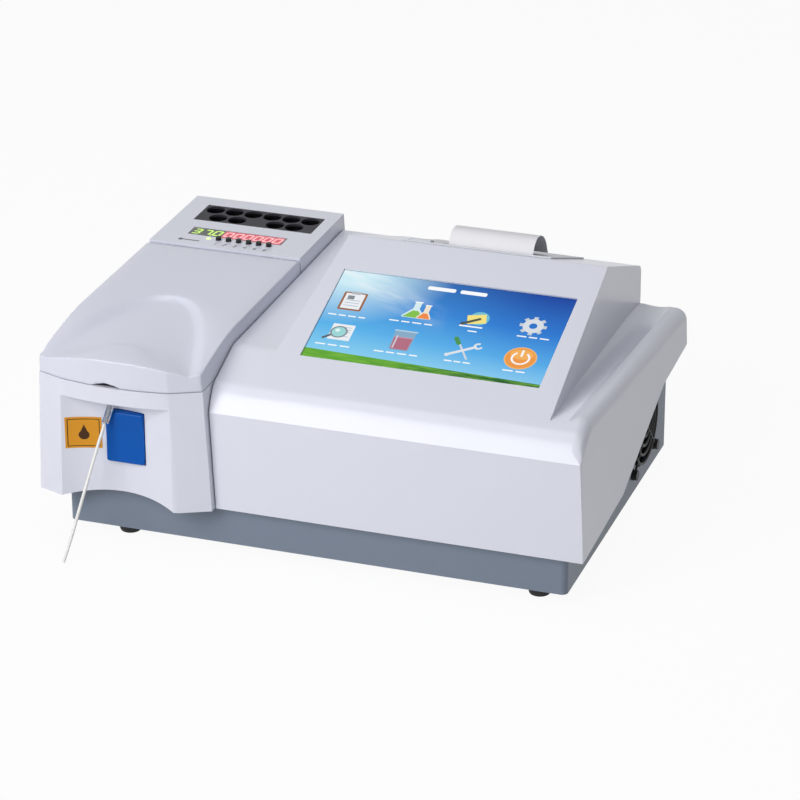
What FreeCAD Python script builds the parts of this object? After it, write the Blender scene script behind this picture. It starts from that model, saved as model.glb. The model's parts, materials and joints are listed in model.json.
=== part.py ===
"""Desktop semi-automatic blood analyzer, in millimetres.

The origin lies on the table, under the middle of the covers. +X is to the right as
the operator sees it, +Y is to the back and +Z is up. Every driving dimension is a
cell of the spreadsheet, and every place is worked out from those cells.
"""
import FreeCAD
import Part
import Sketcher
import math
import os

Vector = FreeCAD.Vector

# Driving dimensions, in millimetres and degrees
DIMENSIONS = [
    # covers as a whole
    ("overall_width", 352.7), ("overall_depth", 273.5), ("cover_wall", 2.8), ("seam_gap", 0.8),
    ("cover_lift", 26.3), ("side_edge_front", 31.0), ("side_edge_back", 68.5),
    ("kink_front", 108.0), ("kink_back", 212.0), ("side_edge_kink", 64.0),
    # chassis and feet
    ("chassis_width", 328.0), ("chassis_depth", 227.7), ("chassis_left_gap", 13.2),
    ("chassis_setback", 23.5), ("steel_sheet", 1.5), ("chassis_front_wall", 40.0),
    ("chassis_side_wall", 76.0), ("chassis_corner", 4.0), ("foot_height", 8.0),
    ("foot_radius", 9.0), ("foot_inset_left", 35.4), ("foot_inset_right", 21.0),
    ("foot_inset_end", 14.0), ("foot_screw", 2.0),
    # tower
    ("tower_width", 114.8), ("tower_height", 127.5), ("tower_draft_left", 3.1),
    ("tower_draft_right", 5.7), ("flank_width", 18.7), ("flank_left_depth", 6.4),
    ("flank_right_depth", 9.0), ("front_bow", 3.6), ("tower_shoulder", 42.0),
    ("tower_nose_drop", 14.0), ("brow_side_drop", 10.0), ("lid_length", 180.0),
    ("lid_seam_height", 106.0), ("lid_wall", 2.4), ("hinge_nose", 4.5), ("hinge_pin", 1.25),
    ("lid_notch_width", 19.0), ("scoop_depth", 2.2), ("scoop_length", 105.0),
    ("scoop_half", 49.0), ("scoop_shift", 2.2), ("hood_radius", 200.0),
    ("niche_width", 76.0), ("niche_depth", 11.0), ("niche_top", 95.3), ("niche_arch", 3.7),
    # aspirate button
    ("button_width", 25.4), ("button_height", 34.6), ("button_low", 51.5),
    ("button_offset", 2.3), ("button_proud", 4.3), ("button_travel", 3.0), ("button_gap", 0.4),
    ("sticker_width", 24.0), ("sticker_height", 21.0), ("sticker_low", 58.5),
    # incubator
    ("well_radius", 6.1), ("well_pitch", 13.6), ("well_row_gap", 13.0), ("lid_opening", 70.0),
    ("incubator_width", 84.0), ("incubator_depth", 28.6), ("incubator_height", 45.0),
    ("incubator_back", 14.0), ("incubator_shift", 2.7), ("plate_thickness", 1.5),
    # display and keys
    ("window_width", 66.3), ("window_depth", 13.5), ("window_thickness", 2.2),
    ("window_back", 54.6), ("key_radius", 1.8), ("key_pitch", 7.1), ("key_back", 72.0),
    ("key_proud", 2.2), ("key_travel", 0.8), ("key_shift", 8.3), ("led_radius", 1.7),
    # main cover
    ("cover_setback", 17.5), ("cover_lean", 1.5), ("cover_draft", 3.4),
    ("band_radius", 20.0), ("band_rise", 12.3), ("band_run", 1.9),
    ("screen_tilt", 17.64), ("ridge_height", 153.0), ("ridge_setback", 95.0),
    ("rear_edge_height", 118.0), ("plateau_left", 29.6), ("plateau_right", 27.7),
    ("plateau_taper_left", 11.3), ("plateau_taper_right", 5.0), ("shoulder_run_left", 44.4),
    ("shoulder_run_right", 22.3), ("shoulder_right_back", 92.0), ("shoulder_round", 8.0),
    ("trough_depth", 2.4), ("trough_half", 10.0), ("trough_in", 24.3),
    # screen
    ("screen_width", 154.08), ("screen_height", 85.92), ("screen_right", 43.2),
    ("screen_below_ridge", 77.1), ("screen_sunk", 1.1), ("module_width", 164.9),
    ("module_height", 100.0), ("glass_thickness", 1.4), ("panel_thickness", 5.7),
    # printer
    ("printer_width", 100.0), ("printer_length", 82.0), ("printer_right", 72.0),
    ("printer_drop", 6.0), ("printer_proud", 1.0), ("paper_width", 56.5),
    ("paper_shift", 8.2), ("door_width", 66.0), ("slot_width", 2.4), ("bucket_depth", 44.0),
    ("platen_radius", 4.5), ("platen_shaft", 2.0), ("roll_radius", 19.0), ("paper_sheet", 0.3),
    ("door_nose", 2.5), ("door_plate", 2.2),
    # fan
    ("fan_size", 60.0), ("fan_depth", 15.0), ("fan_hole_spacing", 50.0), ("fan_from_back", 54.2),
    ("fan_height", 39.0), ("fan_hub", 15.0), ("fan_shaft", 1.5), ("guard_wire", 1.0),
    # running clearance
    ("running_gap", 0.06), ("loose_gap", 0.35),
]

doc = FreeCAD.newDocument("blood_analyzer")
sheet = doc.addObject("Spreadsheet::Sheet", "Sizes")


class Size:
    """A length that knows its value and the spreadsheet expression that gives it."""

    def __init__(self, value, text):
        self.value = value
        self.text = text

    @staticmethod
    def of(other):
        return other if isinstance(other, Size) else Size(float(other), repr(float(other)))

    def join(self, other, sign, value):
        return Size(value, f"({self.text} {sign} {other.text})")

    def __add__(self, other):
        other = Size.of(other)
        return self.join(other, "+", self.value + other.value)

    def __sub__(self, other):
        other = Size.of(other)
        return self.join(other, "-", self.value - other.value)

    def __mul__(self, other):
        other = Size.of(other)
        return self.join(other, "*", self.value * other.value)

    def __truediv__(self, other):
        other = Size.of(other)
        return self.join(other, "/", self.value / other.value)

    def __radd__(self, other):
        return Size.of(other) + self

    def __rsub__(self, other):
        return Size.of(other) - self

    def __rmul__(self, other):
        return Size.of(other) * self

    def __neg__(self):
        return Size(-self.value, f"(-{self.text})")

    def __float__(self):
        return self.value

    def sin(self):
        return Size(math.sin(math.radians(self.value)), f"sin({self.text})")

    def cos(self):
        return Size(math.cos(math.radians(self.value)), f"cos({self.text})")

    def tan(self):
        return Size(math.tan(math.radians(self.value)), f"tan({self.text})")


class Sizes:
    """The named cells of the spreadsheet, each as a Size."""


s = Sizes()
for row, (name, value) in enumerate(DIMENSIONS, start=1):
    sheet.set(f"A{row}", name)
    sheet.set(f"B{row}", str(value))
    sheet.setAlias(f"B{row}", name)
    setattr(s, name, Size(value, f"Sizes.{name}"))
doc.recompute()

# Places that several pieces share
LEFT = -s.overall_width / 2
RIGHT = s.overall_width / 2
FRONT = -s.overall_depth / 2
BACK = s.overall_depth / 2
BASE = s.foot_height
FLOOR = BASE + s.steel_sheet
CHASSIS_LEFT = LEFT + s.chassis_left_gap
CHASSIS_RIGHT = CHASSIS_LEFT + s.chassis_width
CHASSIS_FRONT = FRONT + s.chassis_setback
CHASSIS_BACK = CHASSIS_FRONT + s.chassis_depth
TOWER_TOP = BASE + s.tower_height
TOWER_RIGHT = LEFT + s.tower_width
TOWER_MID = (LEFT + s.tower_draft_left + TOWER_RIGHT - s.tower_draft_right) / 2
HINGE_Y = FRONT + s.lid_length + s.front_bow
HINGE_Z = TOWER_TOP - s.hinge_nose
SEAM_Z = BASE + s.lid_seam_height

pieces = []


def bind(thing, **sizes):
    """Ties each property to its expression; two underscores stand for a dot."""
    for name, size in sizes.items():
        thing.setExpression(name.replace("__", "."), Size.of(size).text)
    return thing


def place(thing, x=0, y=0, z=0):
    path = "Placement.Base."
    for letter, size in zip("xyz", (x, y, z)):
        thing.setExpression(path + letter, Size.of(size).text)
    return thing


def turn(thing, axis, angle):
    thing.Placement.Rotation = FreeCAD.Rotation(Vector(*axis), float(angle))
    return thing


def box(name, low, size):
    """A block from its lowest corner and its three lengths."""
    thing = doc.addObject("Part::Box", name)
    bind(thing, Length=size[0], Width=size[1], Height=size[2])
    return place(thing, *low)


AXIS_TURNS = {"x": ((0, 1, 0), 90), "y": ((1, 0, 0), -90), "z": ((0, 0, 1), 0)}


def rod(name, start, radius, length, axis="z"):
    """A cylinder from the middle of its first end, along +X, +Y or +Z."""
    thing = doc.addObject("Part::Cylinder", name)
    bind(thing, Radius=radius, Height=length)
    turn(thing, *AXIS_TURNS[axis])
    return place(thing, *start)


def cone(name, start, low_radius, high_radius, length, axis="z"):
    thing = doc.addObject("Part::Cone", name)
    bind(thing, Radius1=low_radius, Radius2=high_radius, Height=length)
    turn(thing, *AXIS_TURNS[axis])
    return place(thing, *start)


def fuse(name, *parts):
    thing = doc.addObject("Part::MultiFuse", name)
    thing.Shapes = list(parts)
    return thing


def cut(name, base, *tools):
    tool = tools[0] if len(tools) == 1 else fuse(name + "_tools", *tools)
    thing = doc.addObject("Part::Cut", name)
    thing.Base = base
    thing.Tool = tool
    return thing


def made(name, shape):
    """A feature whose form is worked out by the functions below."""
    thing = doc.addObject("Part::Feature", name)
    thing.Shape = shape
    return thing


def piece(node, thing):
    """Registers a finished sub-part under its node name."""
    thing.Label = node
    pieces.append(thing)
    return thing


PLANES = {"xy": FreeCAD.Rotation(), "xz": FreeCAD.Rotation(Vector(1, 0, 0), 90),
          "yz": FreeCAD.Rotation(Vector(1, 1, 1), 120)}


def sketched(node, corners, holes, thickness, plane, at, rotation=None):
    """A flat piece: a padded sketch with straight edges and round holes."""
    body = doc.addObject("PartDesign::Body", node + "_body")
    flat = next(f for f in body.Origin.OriginFeatures if f.Role == "XY_Plane")
    sketch = body.newObject("Sketcher::SketchObject", node + "_sketch")
    sketch.AttachmentSupport = [(flat, "")]
    sketch.MapMode = "FlatFace"
    spots = [Vector(float(Size.of(a)), float(Size.of(b)), 0) for a, b in corners]
    for start, end in zip(spots, spots[1:] + spots[:1]):
        sketch.addGeometry(Part.LineSegment(start, end), False)
    count = len(spots)
    for index in range(count):
        sketch.addConstraint(Sketcher.Constraint("Coincident", index, 2, (index + 1) % count, 1))
    for index, corner in enumerate(corners):
        pin(sketch, index, 1, *corner)
    for a, b, radius in holes:
        middle = Vector(float(Size.of(a)), float(Size.of(b)), 0)
        circle = Part.Circle(middle, Vector(0, 0, 1), float(Size.of(radius)))
        index = sketch.addGeometry(circle, False)
        mark = sketch.addConstraint(Sketcher.Constraint("Radius", index, circle.Radius))
        sketch.setExpression(f"Constraints[{mark}]", Size.of(radius).text)
        pin(sketch, index, 3, a, b)
    pad = body.newObject("PartDesign::Pad", node + "_pad")
    pad.Profile = sketch
    bind(pad, Length=thickness)
    body.Placement.Rotation = rotation or PLANES[plane]
    place(body, *at)
    return body


def pin(sketch, index, point, x, y):
    """Holds one point of a sketch at two expressions from the sketch's origin."""
    for kind, size in (("DistanceX", Size.of(x)), ("DistanceY", Size.of(y))):
        rule = Sketcher.Constraint(kind, -1, 1, index, point, size.value)
        mark = sketch.addConstraint(rule)
        sketch.setExpression(f"Constraints[{mark}]", size.text)


def rectangle(low, high):
    return [(low[0], low[1]), (high[0], low[1]), (high[0], high[1]), (low[0], high[1])]


def rounded_wire(points, to_space):
    """A closed outline of straight runs, with each corner (a, b, radius) rounded."""
    flat = [Vector(float(a), float(b), 0) for a, b, _ in points]
    ends = []
    for index, (_, _, radius) in enumerate(points):
        here = flat[index]
        before = (flat[index - 1] - here).normalize()
        after = (flat[(index + 1) % len(flat)] - here).normalize()
        half = before.getAngle(after) / 2
        reach = float(radius) / math.tan(half) if float(radius) > 0 else 0.0
        middle = (before + after).normalize() * (float(radius) / math.sin(half))
        bulge = middle * (1 - math.sin(half)) if reach else Vector()
        ends.append((here + before * reach, here + bulge, here + after * reach))
    edges = []
    for index, (start, bulge, end) in enumerate(ends):
        if (end - start).Length > 1e-6:
            edges.append(Part.Arc(to_space(start), to_space(bulge), to_space(end)).toShape())
        following = ends[(index + 1) % len(ends)][0]
        if (following - end).Length > 1e-6:
            edges.append(Part.LineSegment(to_space(end), to_space(following)).toShape())
    return Part.Wire(Part.__sortEdges__(edges))


def side_prism(points, low_x, high_x):
    """A side outline in (y, z), carried along X."""
    low_x, high_x = float(low_x), float(high_x)
    wire = rounded_wire(points, lambda p: Vector(low_x, p.x, p.y))
    return Part.Face(wire).extrude(Vector(high_x - low_x, 0, 0))


def plan_prism(points, low_z, high_z):
    """A plan outline in (x, y), carried upwards."""
    low_z, high_z = float(low_z), float(high_z)
    wire = rounded_wire(points, lambda p: Vector(p.x, p.y, low_z))
    return Part.Face(wire).extrude(Vector(0, 0, high_z - low_z))


def front_prism(points, low_y, high_y):
    """A front outline in (x, z), carried backwards."""
    low_y, high_y = float(low_y), float(high_y)
    wire = rounded_wire(points, lambda p: Vector(p.x, low_y, p.y))
    return Part.Face(wire).extrude(Vector(0, high_y - low_y, 0))


def block(low, high):
    low = Vector(*[float(v) for v in low])
    size = Vector(*[float(v) for v in high]) - low
    return Part.makeBox(size.x, size.y, size.z, low)


# Chassis

def chassis():
    """A folded steel tray with low front wall and higher side walls, and its rear panel."""
    height = s.chassis_side_wall
    outer = box("tray_outer", (CHASSIS_LEFT, CHASSIS_FRONT, BASE),
                (s.chassis_width, s.chassis_depth, height))
    inner = box("tray_inner",
                (CHASSIS_LEFT + s.steel_sheet, CHASSIS_FRONT + s.steel_sheet, FLOOR),
                (s.chassis_width - 2 * s.steel_sheet, s.chassis_depth, height))
    doc.recompute()
    rounds = []
    for base, radius, name in ((outer, s.chassis_corner, "tray_outer_round"),
                               (inner, s.chassis_corner - s.steel_sheet, "tray_inner_round")):
        front = min(vertex.Y for vertex in base.Shape.Vertexes)
        fillet = doc.addObject("Part::Fillet", name)
        fillet.Base = base
        fillet.Edges = [(number, float(radius), float(radius))
                        for number, edge in enumerate(base.Shape.Edges, start=1)
                        if abs(edge.CenterOfMass.y - front) < 0.1
                        and abs(edge.Vertexes[0].Z - edge.Vertexes[1].Z) > 1]
        rounds.append(fillet)
    step_front = CHASSIS_FRONT + s.kink_front
    step_back = step_front + 40
    top = BASE + height
    slope = side_prism([(FRONT - 10, BASE + s.chassis_front_wall, 0),
                        (step_front, BASE + s.chassis_front_wall, 12),
                        (step_back, top - 1, 12), (BACK + 10, top - 1, 0),
                        (BACK + 10, top + 20, 0), (FRONT - 10, top + 20, 0)],
                       LEFT - 10, RIGHT + 10)
    fan_y, fan_z = CHASSIS_BACK - s.fan_from_back, BASE + s.fan_height
    hole = rod("tray_fan_hole", (CHASSIS_RIGHT - 20, fan_y, fan_z), s.fan_size / 2 - 2, 40, "x")
    screw_holes = [rod("tray_screw_hole", (CHASSIS_RIGHT - 20, fan_y + a * s.fan_hole_spacing / 2,
                                           fan_z + b * s.fan_hole_spacing / 2), 2.1, 40, "x")
                   for a in (-1, 1) for b in (-1, 1)]
    foot_holes = [rod("tray_foot_hole", (x, y, BASE - 5), s.foot_screw + 0.2, 20)
                  for x, y in foot_spots()]
    tray = cut("tray", rounds[0], rounds[1], made("tray_slope", slope), hole, *screw_holes,
               *foot_holes)
    studs = [rod("tray_stud", (BOARD_X + x, BOARD_Y + y, FLOOR - 0.5), 3, BOARD_LIFT + 0.5)
             for x, y in board_holes()]
    piece("chassis_tray", fuse("tray_all", tray, *studs))
    rear_panel()


BOARD_X, BOARD_Y = TOWER_RIGHT + 62, CHASSIS_FRONT + 14
BOARD_WIDTH, BOARD_DEPTH, BOARD_LIFT = 150, 92, 8
SUPPLY_WIDTH, SUPPLY_DEPTH, SUPPLY_HEIGHT = 98, 82, 36


def board_holes():
    return [(x, y) for x in (5, BOARD_WIDTH - 5) for y in (5, BOARD_DEPTH - 5)]


def foot_spots():
    left, right = CHASSIS_LEFT + s.foot_inset_left, CHASSIS_RIGHT - s.foot_inset_right
    front, back = CHASSIS_FRONT + s.foot_inset_end, CHASSIS_BACK - s.foot_inset_end
    return [(left, front), (right, front), (left, back), (right, back)]


def feet():
    """Four tapered rubber feet with screw recesses, and the screws that hold them."""
    rubber, screws = [], []
    for x, y in foot_spots():
        dome = cone("foot_dome", (x, y, 0), s.foot_radius * 0.72, s.foot_radius, s.foot_height)
        recess = rod("foot_recess", (x, y, -1), 3.6, s.foot_height / 2 + 1)
        bore = rod("foot_bore", (x, y, 0), s.foot_screw, s.foot_height + 1)
        rubber.append(cut("foot", dome, recess, bore))
        head = rod("foot_head", (x, y, s.foot_height / 2 - 2.2), 3.4, 2.2)
        shank = rod("foot_shank", (x, y, s.foot_height / 2 - 1), s.foot_screw,
                    s.foot_height / 2 + s.steel_sheet + 4)
        screws.append(fuse("foot_screw_one", head, shank))
    piece("rubber_feet", fuse("feet", *rubber))
    piece("foot_screws", fuse("foot_screw_set", *screws))


# Places on the rear panel, measured from its left end and from the chassis base
INLET_AT, INLET_HEIGHT = CHASSIS_RIGHT - 62, BASE + 27
SWITCH_AT = INLET_AT - 48
SERIAL_AT = SWITCH_AT - 55
USB_AT = SERIAL_AT - 34
FITTING_AT = CHASSIS_LEFT + 40
PANEL_Y = CHASSIS_BACK - s.steel_sheet


def rear_panel():
    """The steel plate that carries the connectors, with cut-outs and vent slots."""
    low_x, high_x = CHASSIS_LEFT + s.steel_sheet, CHASSIS_RIGHT - s.steel_sheet
    plate = box("panel_plate", (low_x, PANEL_Y, FLOOR),
                (s.chassis_width - 2 * s.steel_sheet, s.steel_sheet, s.chassis_side_wall - 4))
    tools = []
    for x, width, height in ((INLET_AT, 28.6, 20.6), (SWITCH_AT, 13.4, 20.4),
                             (SERIAL_AT, 19.4, 10.6), (USB_AT, 12.6, 11.6)):
        tools.append(box("panel_hole", (x - width / 2, PANEL_Y - 5, INLET_HEIGHT - height / 2),
                         (width, 12, height)))
    tools.append(rod("panel_fitting_hole", (FITTING_AT, PANEL_Y - 5, INLET_HEIGHT), 4.1, 12, "y"))
    for number in range(9):
        tools.append(box("panel_vent", (FITTING_AT + 34 + 7 * number, PANEL_Y - 5, BASE + 20),
                         (3, 12, 34)))
    piece("rear_panel", cut("panel", plate, *tools))


# Tower

def tower_plan(grow, rise):
    """The tower's outline in (x, y), larger by grow, at the base (0) or the top (1)."""
    left = LEFT + s.tower_draft_left * rise - grow
    right = TOWER_RIGHT - s.tower_draft_right * rise + grow
    front = FRONT + s.front_bow + 0.8 * rise - grow
    return left, right, front


def tower_wire(grow, rise, z):
    """The tower's plan at one height: bowed front, slanted flanks, straight sides."""
    left, right, front = [float(v) for v in tower_plan(grow, rise)]
    back, z = float(BACK) + grow - 1.0 * rise, float(z)
    bow, flank = float(s.front_bow), float(s.flank_width)
    mid_left = Vector(left + flank, front, z)
    mid_right = Vector(right - flank, front, z)
    bow_top = Vector((mid_left.x + mid_right.x) / 2, front - bow, z)
    corners = [Vector(right, front + float(s.flank_right_depth), z),
               Vector(right, back, z), Vector(left, back, z),
               Vector(left, front + float(s.flank_left_depth), z)]
    edges = [Part.Arc(mid_left, bow_top, mid_right).toShape()]
    chain = [mid_right] + corners + [mid_left]
    edges += [Part.LineSegment(a, b).toShape() for a, b in zip(chain, chain[1:])]
    return Part.Wire(edges)


def tower_loft(grow, low_z, high_z):
    """The drafted tower between two heights."""
    span = float(s.tower_height - s.cover_lift)
    start = float(BASE + s.cover_lift)
    rises = [(float(z) - start) / span for z in (low_z, high_z)]
    wires = [tower_wire(grow, rise, z) for rise, z in zip(rises, (low_z, high_z))]
    return Part.makeLoft(wires, True, True)


def side_edge(offset=0.0):
    """The covers' lower edge in (y, z): low at the front, stepped up to the back."""
    kink_y = CHASSIS_FRONT + s.kink_front - 23
    return [(FRONT - 20, BASE + s.cover_lift + offset, 0),
            (CHASSIS_FRONT, BASE + s.cover_lift + offset, 0),
            (kink_y, BASE + s.side_edge_front + offset, 14),
            (kink_y + 100, BASE + s.side_edge_kink + offset, 14),
            (BACK + 20, BASE + s.side_edge_back + offset, 0)]


def side_top(inset):
    """The tower's top line in (y, z), from the back to the rounded front."""
    top = TOWER_TOP - inset
    nose_y = FRONT + s.front_bow + s.flank_left_depth
    return [(BACK + 20, top, 0), (FRONT + s.tower_shoulder + 17, top, s.hood_radius),
            (nose_y + 6 + inset * 0.4, top - s.tower_nose_drop * 0.62, 14),
            (nose_y - 2 + inset, top - s.tower_nose_drop - 5, 0), (FRONT - 20, top - 30, 0)]


def brow(inset):
    """The arched front of the lid, carried back under the level top."""
    half = (s.tower_width - s.tower_draft_left - s.tower_draft_right) / 2
    top = TOWER_TOP - inset
    left, right = float(TOWER_MID - half - 5), float(TOWER_MID + half + 5)
    side_z, base_z = float(top - s.brow_side_drop - 1), float(SEAM_Z - 20)
    arc = Part.Arc(Vector(left, 0, side_z), Vector(float(TOWER_MID), 0, float(top)),
                   Vector(right, 0, side_z)).toShape()
    chain = [Vector(right, 0, side_z), Vector(right, 0, base_z), Vector(left, 0, base_z),
             Vector(left, 0, side_z)]
    edges = [arc] + [Part.LineSegment(a, b).toShape() for a, b in zip(chain, chain[1:])]
    face = Part.Face(Part.Wire(edges))
    face.translate(Vector(0, float(FRONT) - 20, 0))
    return face.extrude(Vector(0, float(s.scoop_length) + 30, 0))


def tower_form(inset):
    """The whole tower as one solid, smaller by inset on every side but the bottom."""
    shape = tower_loft(-inset, BASE, TOWER_TOP + 10)
    profile = side_top(inset)
    level = side_prism(profile + [(FRONT - 20, BASE, 0), (BACK + 20, BASE, 0)],
                       LEFT - 20, TOWER_RIGHT + 20)
    return shape.common(level.fuse(brow(inset)))


def petal(spread, z):
    """The scoop's outline in plan, a parabola that opens to the front, wider by spread."""
    mid, lip = float(TOWER_MID + s.scoop_shift), float(FRONT) + 3
    apex, half = float(FRONT + s.scoop_length) + 1.4 * spread, float(s.scoop_half) + spread
    rows = [(apex - share * (apex - lip), half * share ** 0.55)
            for share in (1.0, 0.75, 0.5, 0.3, 0.14, 0.04)]
    points = [Vector(mid - wide, y, z) for y, wide in rows] + [Vector(mid, apex, z)]
    points += [Vector(mid + wide, y, z) for y, wide in reversed(rows)]
    curve = Part.BSplineCurve()
    curve.interpolate(points)
    chain = [points[-1], Vector(mid + half + 2, lip - 16, z), Vector(mid - half - 2, lip - 16, z),
             points[0]]
    edges = [curve.toShape()]
    edges += [Part.LineSegment(a, b).toShape() for a, b in zip(chain, chain[1:])]
    return Part.Wire(edges)


def scoop():
    """The finger scoop: a shallow dish with sloping walls, open over the arched brow."""
    top, mid = float(TOWER_TOP), float(TOWER_MID)
    front, length, depth = float(FRONT), float(s.scoop_length), float(s.scoop_depth)
    half = float(s.tower_width) / 2 + 6
    wires = []
    for share, sink, side in ((0.055, -0.27, 13.0), (0.30, 0.77, 14.1), (0.58, 1.0, 5.0),
                              (0.84, 0.72, 2.5), (1.06, -0.2, 1.0)):
        y, low = front + length * share, top - depth * sink
        arc = Part.Arc(Vector(mid - half, y, low - side), Vector(mid, y, low),
                       Vector(mid + half, y, low - side)).toShape()
        chain = [Vector(mid + half, y, low - side), Vector(mid + half, y, top + 20),
                 Vector(mid - half, y, top + 20), Vector(mid - half, y, low - side)]
        edges = [Part.LineSegment(a, b).toShape() for a, b in zip(chain, chain[1:])]
        wires.append(Part.Wire([arc] + edges))
    hollow = Part.makeLoft(wires, True, False)
    dish = Part.makeLoft([petal(-21.0, top - 8), petal(16.0, top + 6)], True, True)
    dish.rotate(Vector(mid, front + length, top), Vector(1, 0, 0), 4.5)
    return hollow.common(dish)


def lid_zone(gap):
    """The space of the lid: in front of the hinge nose and above the seam."""
    nose = s.hinge_nose + gap
    low = float(SEAM_Z - gap)
    ahead = block((LEFT - 20, FRONT - 20, low), (TOWER_RIGHT + 20, HINGE_Y, TOWER_TOP + 20))
    below = block((LEFT - 20, HINGE_Y - 1, low), (TOWER_RIGHT + 20, HINGE_Y + nose, HINGE_Z))
    curl = Part.makeCylinder(float(nose), float(s.tower_width) + 40,
                             Vector(float(LEFT) - 20, float(HINGE_Y), float(HINGE_Z)),
                             Vector(1, 0, 0))
    return ahead.fuse([below, curl])


def niche(grow, top_grow):
    """The hollow in the tower front where a sample is offered to the needle."""
    half, mid = float(s.niche_width) / 2 + grow * 0.5, float(TOWER_MID) - 1.7
    front = float(FRONT + s.front_bow)
    deep = front + float(s.niche_depth) + grow
    low, high = float(BASE) + 5, float(BASE + s.niche_top) + top_grow
    left, right = Vector(mid - half, front - 0.2, low), Vector(mid + half, front - 0.2, low)
    arc = Part.Arc(left, Vector(mid, deep, low), right).toShape()
    chain = [right, Vector(right.x, front - 12, low), Vector(left.x, front - 12, low), left]
    edges = [arc] + [Part.LineSegment(a, b).toShape() for a, b in zip(chain, chain[1:])]
    return Part.Face(Part.Wire(edges)).extrude(Vector(0, 0, high - low))


BUTTON_X = TOWER_MID + s.button_offset
BUTTON_Z = BASE + s.button_low
NICHE_BACK = FRONT + s.front_bow + s.niche_depth
BUTTON_FACE = NICHE_BACK - s.button_proud
KEY_Y = BACK - s.key_back
KEYS = [TOWER_MID + s.key_shift + s.key_pitch * (number - 2.5) for number in range(6)]
LED_X = KEYS[0] - s.key_pitch
WINDOW_LEFT = TOWER_MID - s.window_width / 2
WINDOW_FRONT = BACK - s.window_back - s.window_depth
INCUBATOR_X = TOWER_MID + s.incubator_shift
INCUBATOR_FRONT = BACK - s.incubator_back - s.incubator_depth
WELL_TOP = TOWER_TOP - s.plate_thickness - 0.2


DISPLAY_LOW = (WINDOW_LEFT - 4, KEY_Y - 7)
DISPLAY_SIZE = (s.window_width + 8, WINDOW_FRONT + s.window_depth + 7 - KEY_Y + 7)
DISPLAY_TOP = TOWER_TOP - s.window_thickness - 0.3 - 9.2 + 1.6


def display_posts():
    """Where the four bosses under the tower's top hold the display board."""
    (x, y), (width, depth) = DISPLAY_LOW, DISPLAY_SIZE
    return [(x + a, y + b) for a in (3, width - 3) for b in (3, depth - 3)]


def well_spots():
    """Six wells behind and four in front, set half a pitch aside."""
    back_y = INCUBATOR_FRONT + s.incubator_depth / 2 + s.well_row_gap / 2
    front_y = INCUBATOR_FRONT + s.incubator_depth / 2 - s.well_row_gap / 2
    back = [(INCUBATOR_X + s.well_pitch * (number - 2.5), back_y) for number in range(6)]
    front = [(INCUBATOR_X + s.well_pitch * (number - 2), front_y) for number in (0, 1, 3, 4)]
    return back + front


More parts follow.
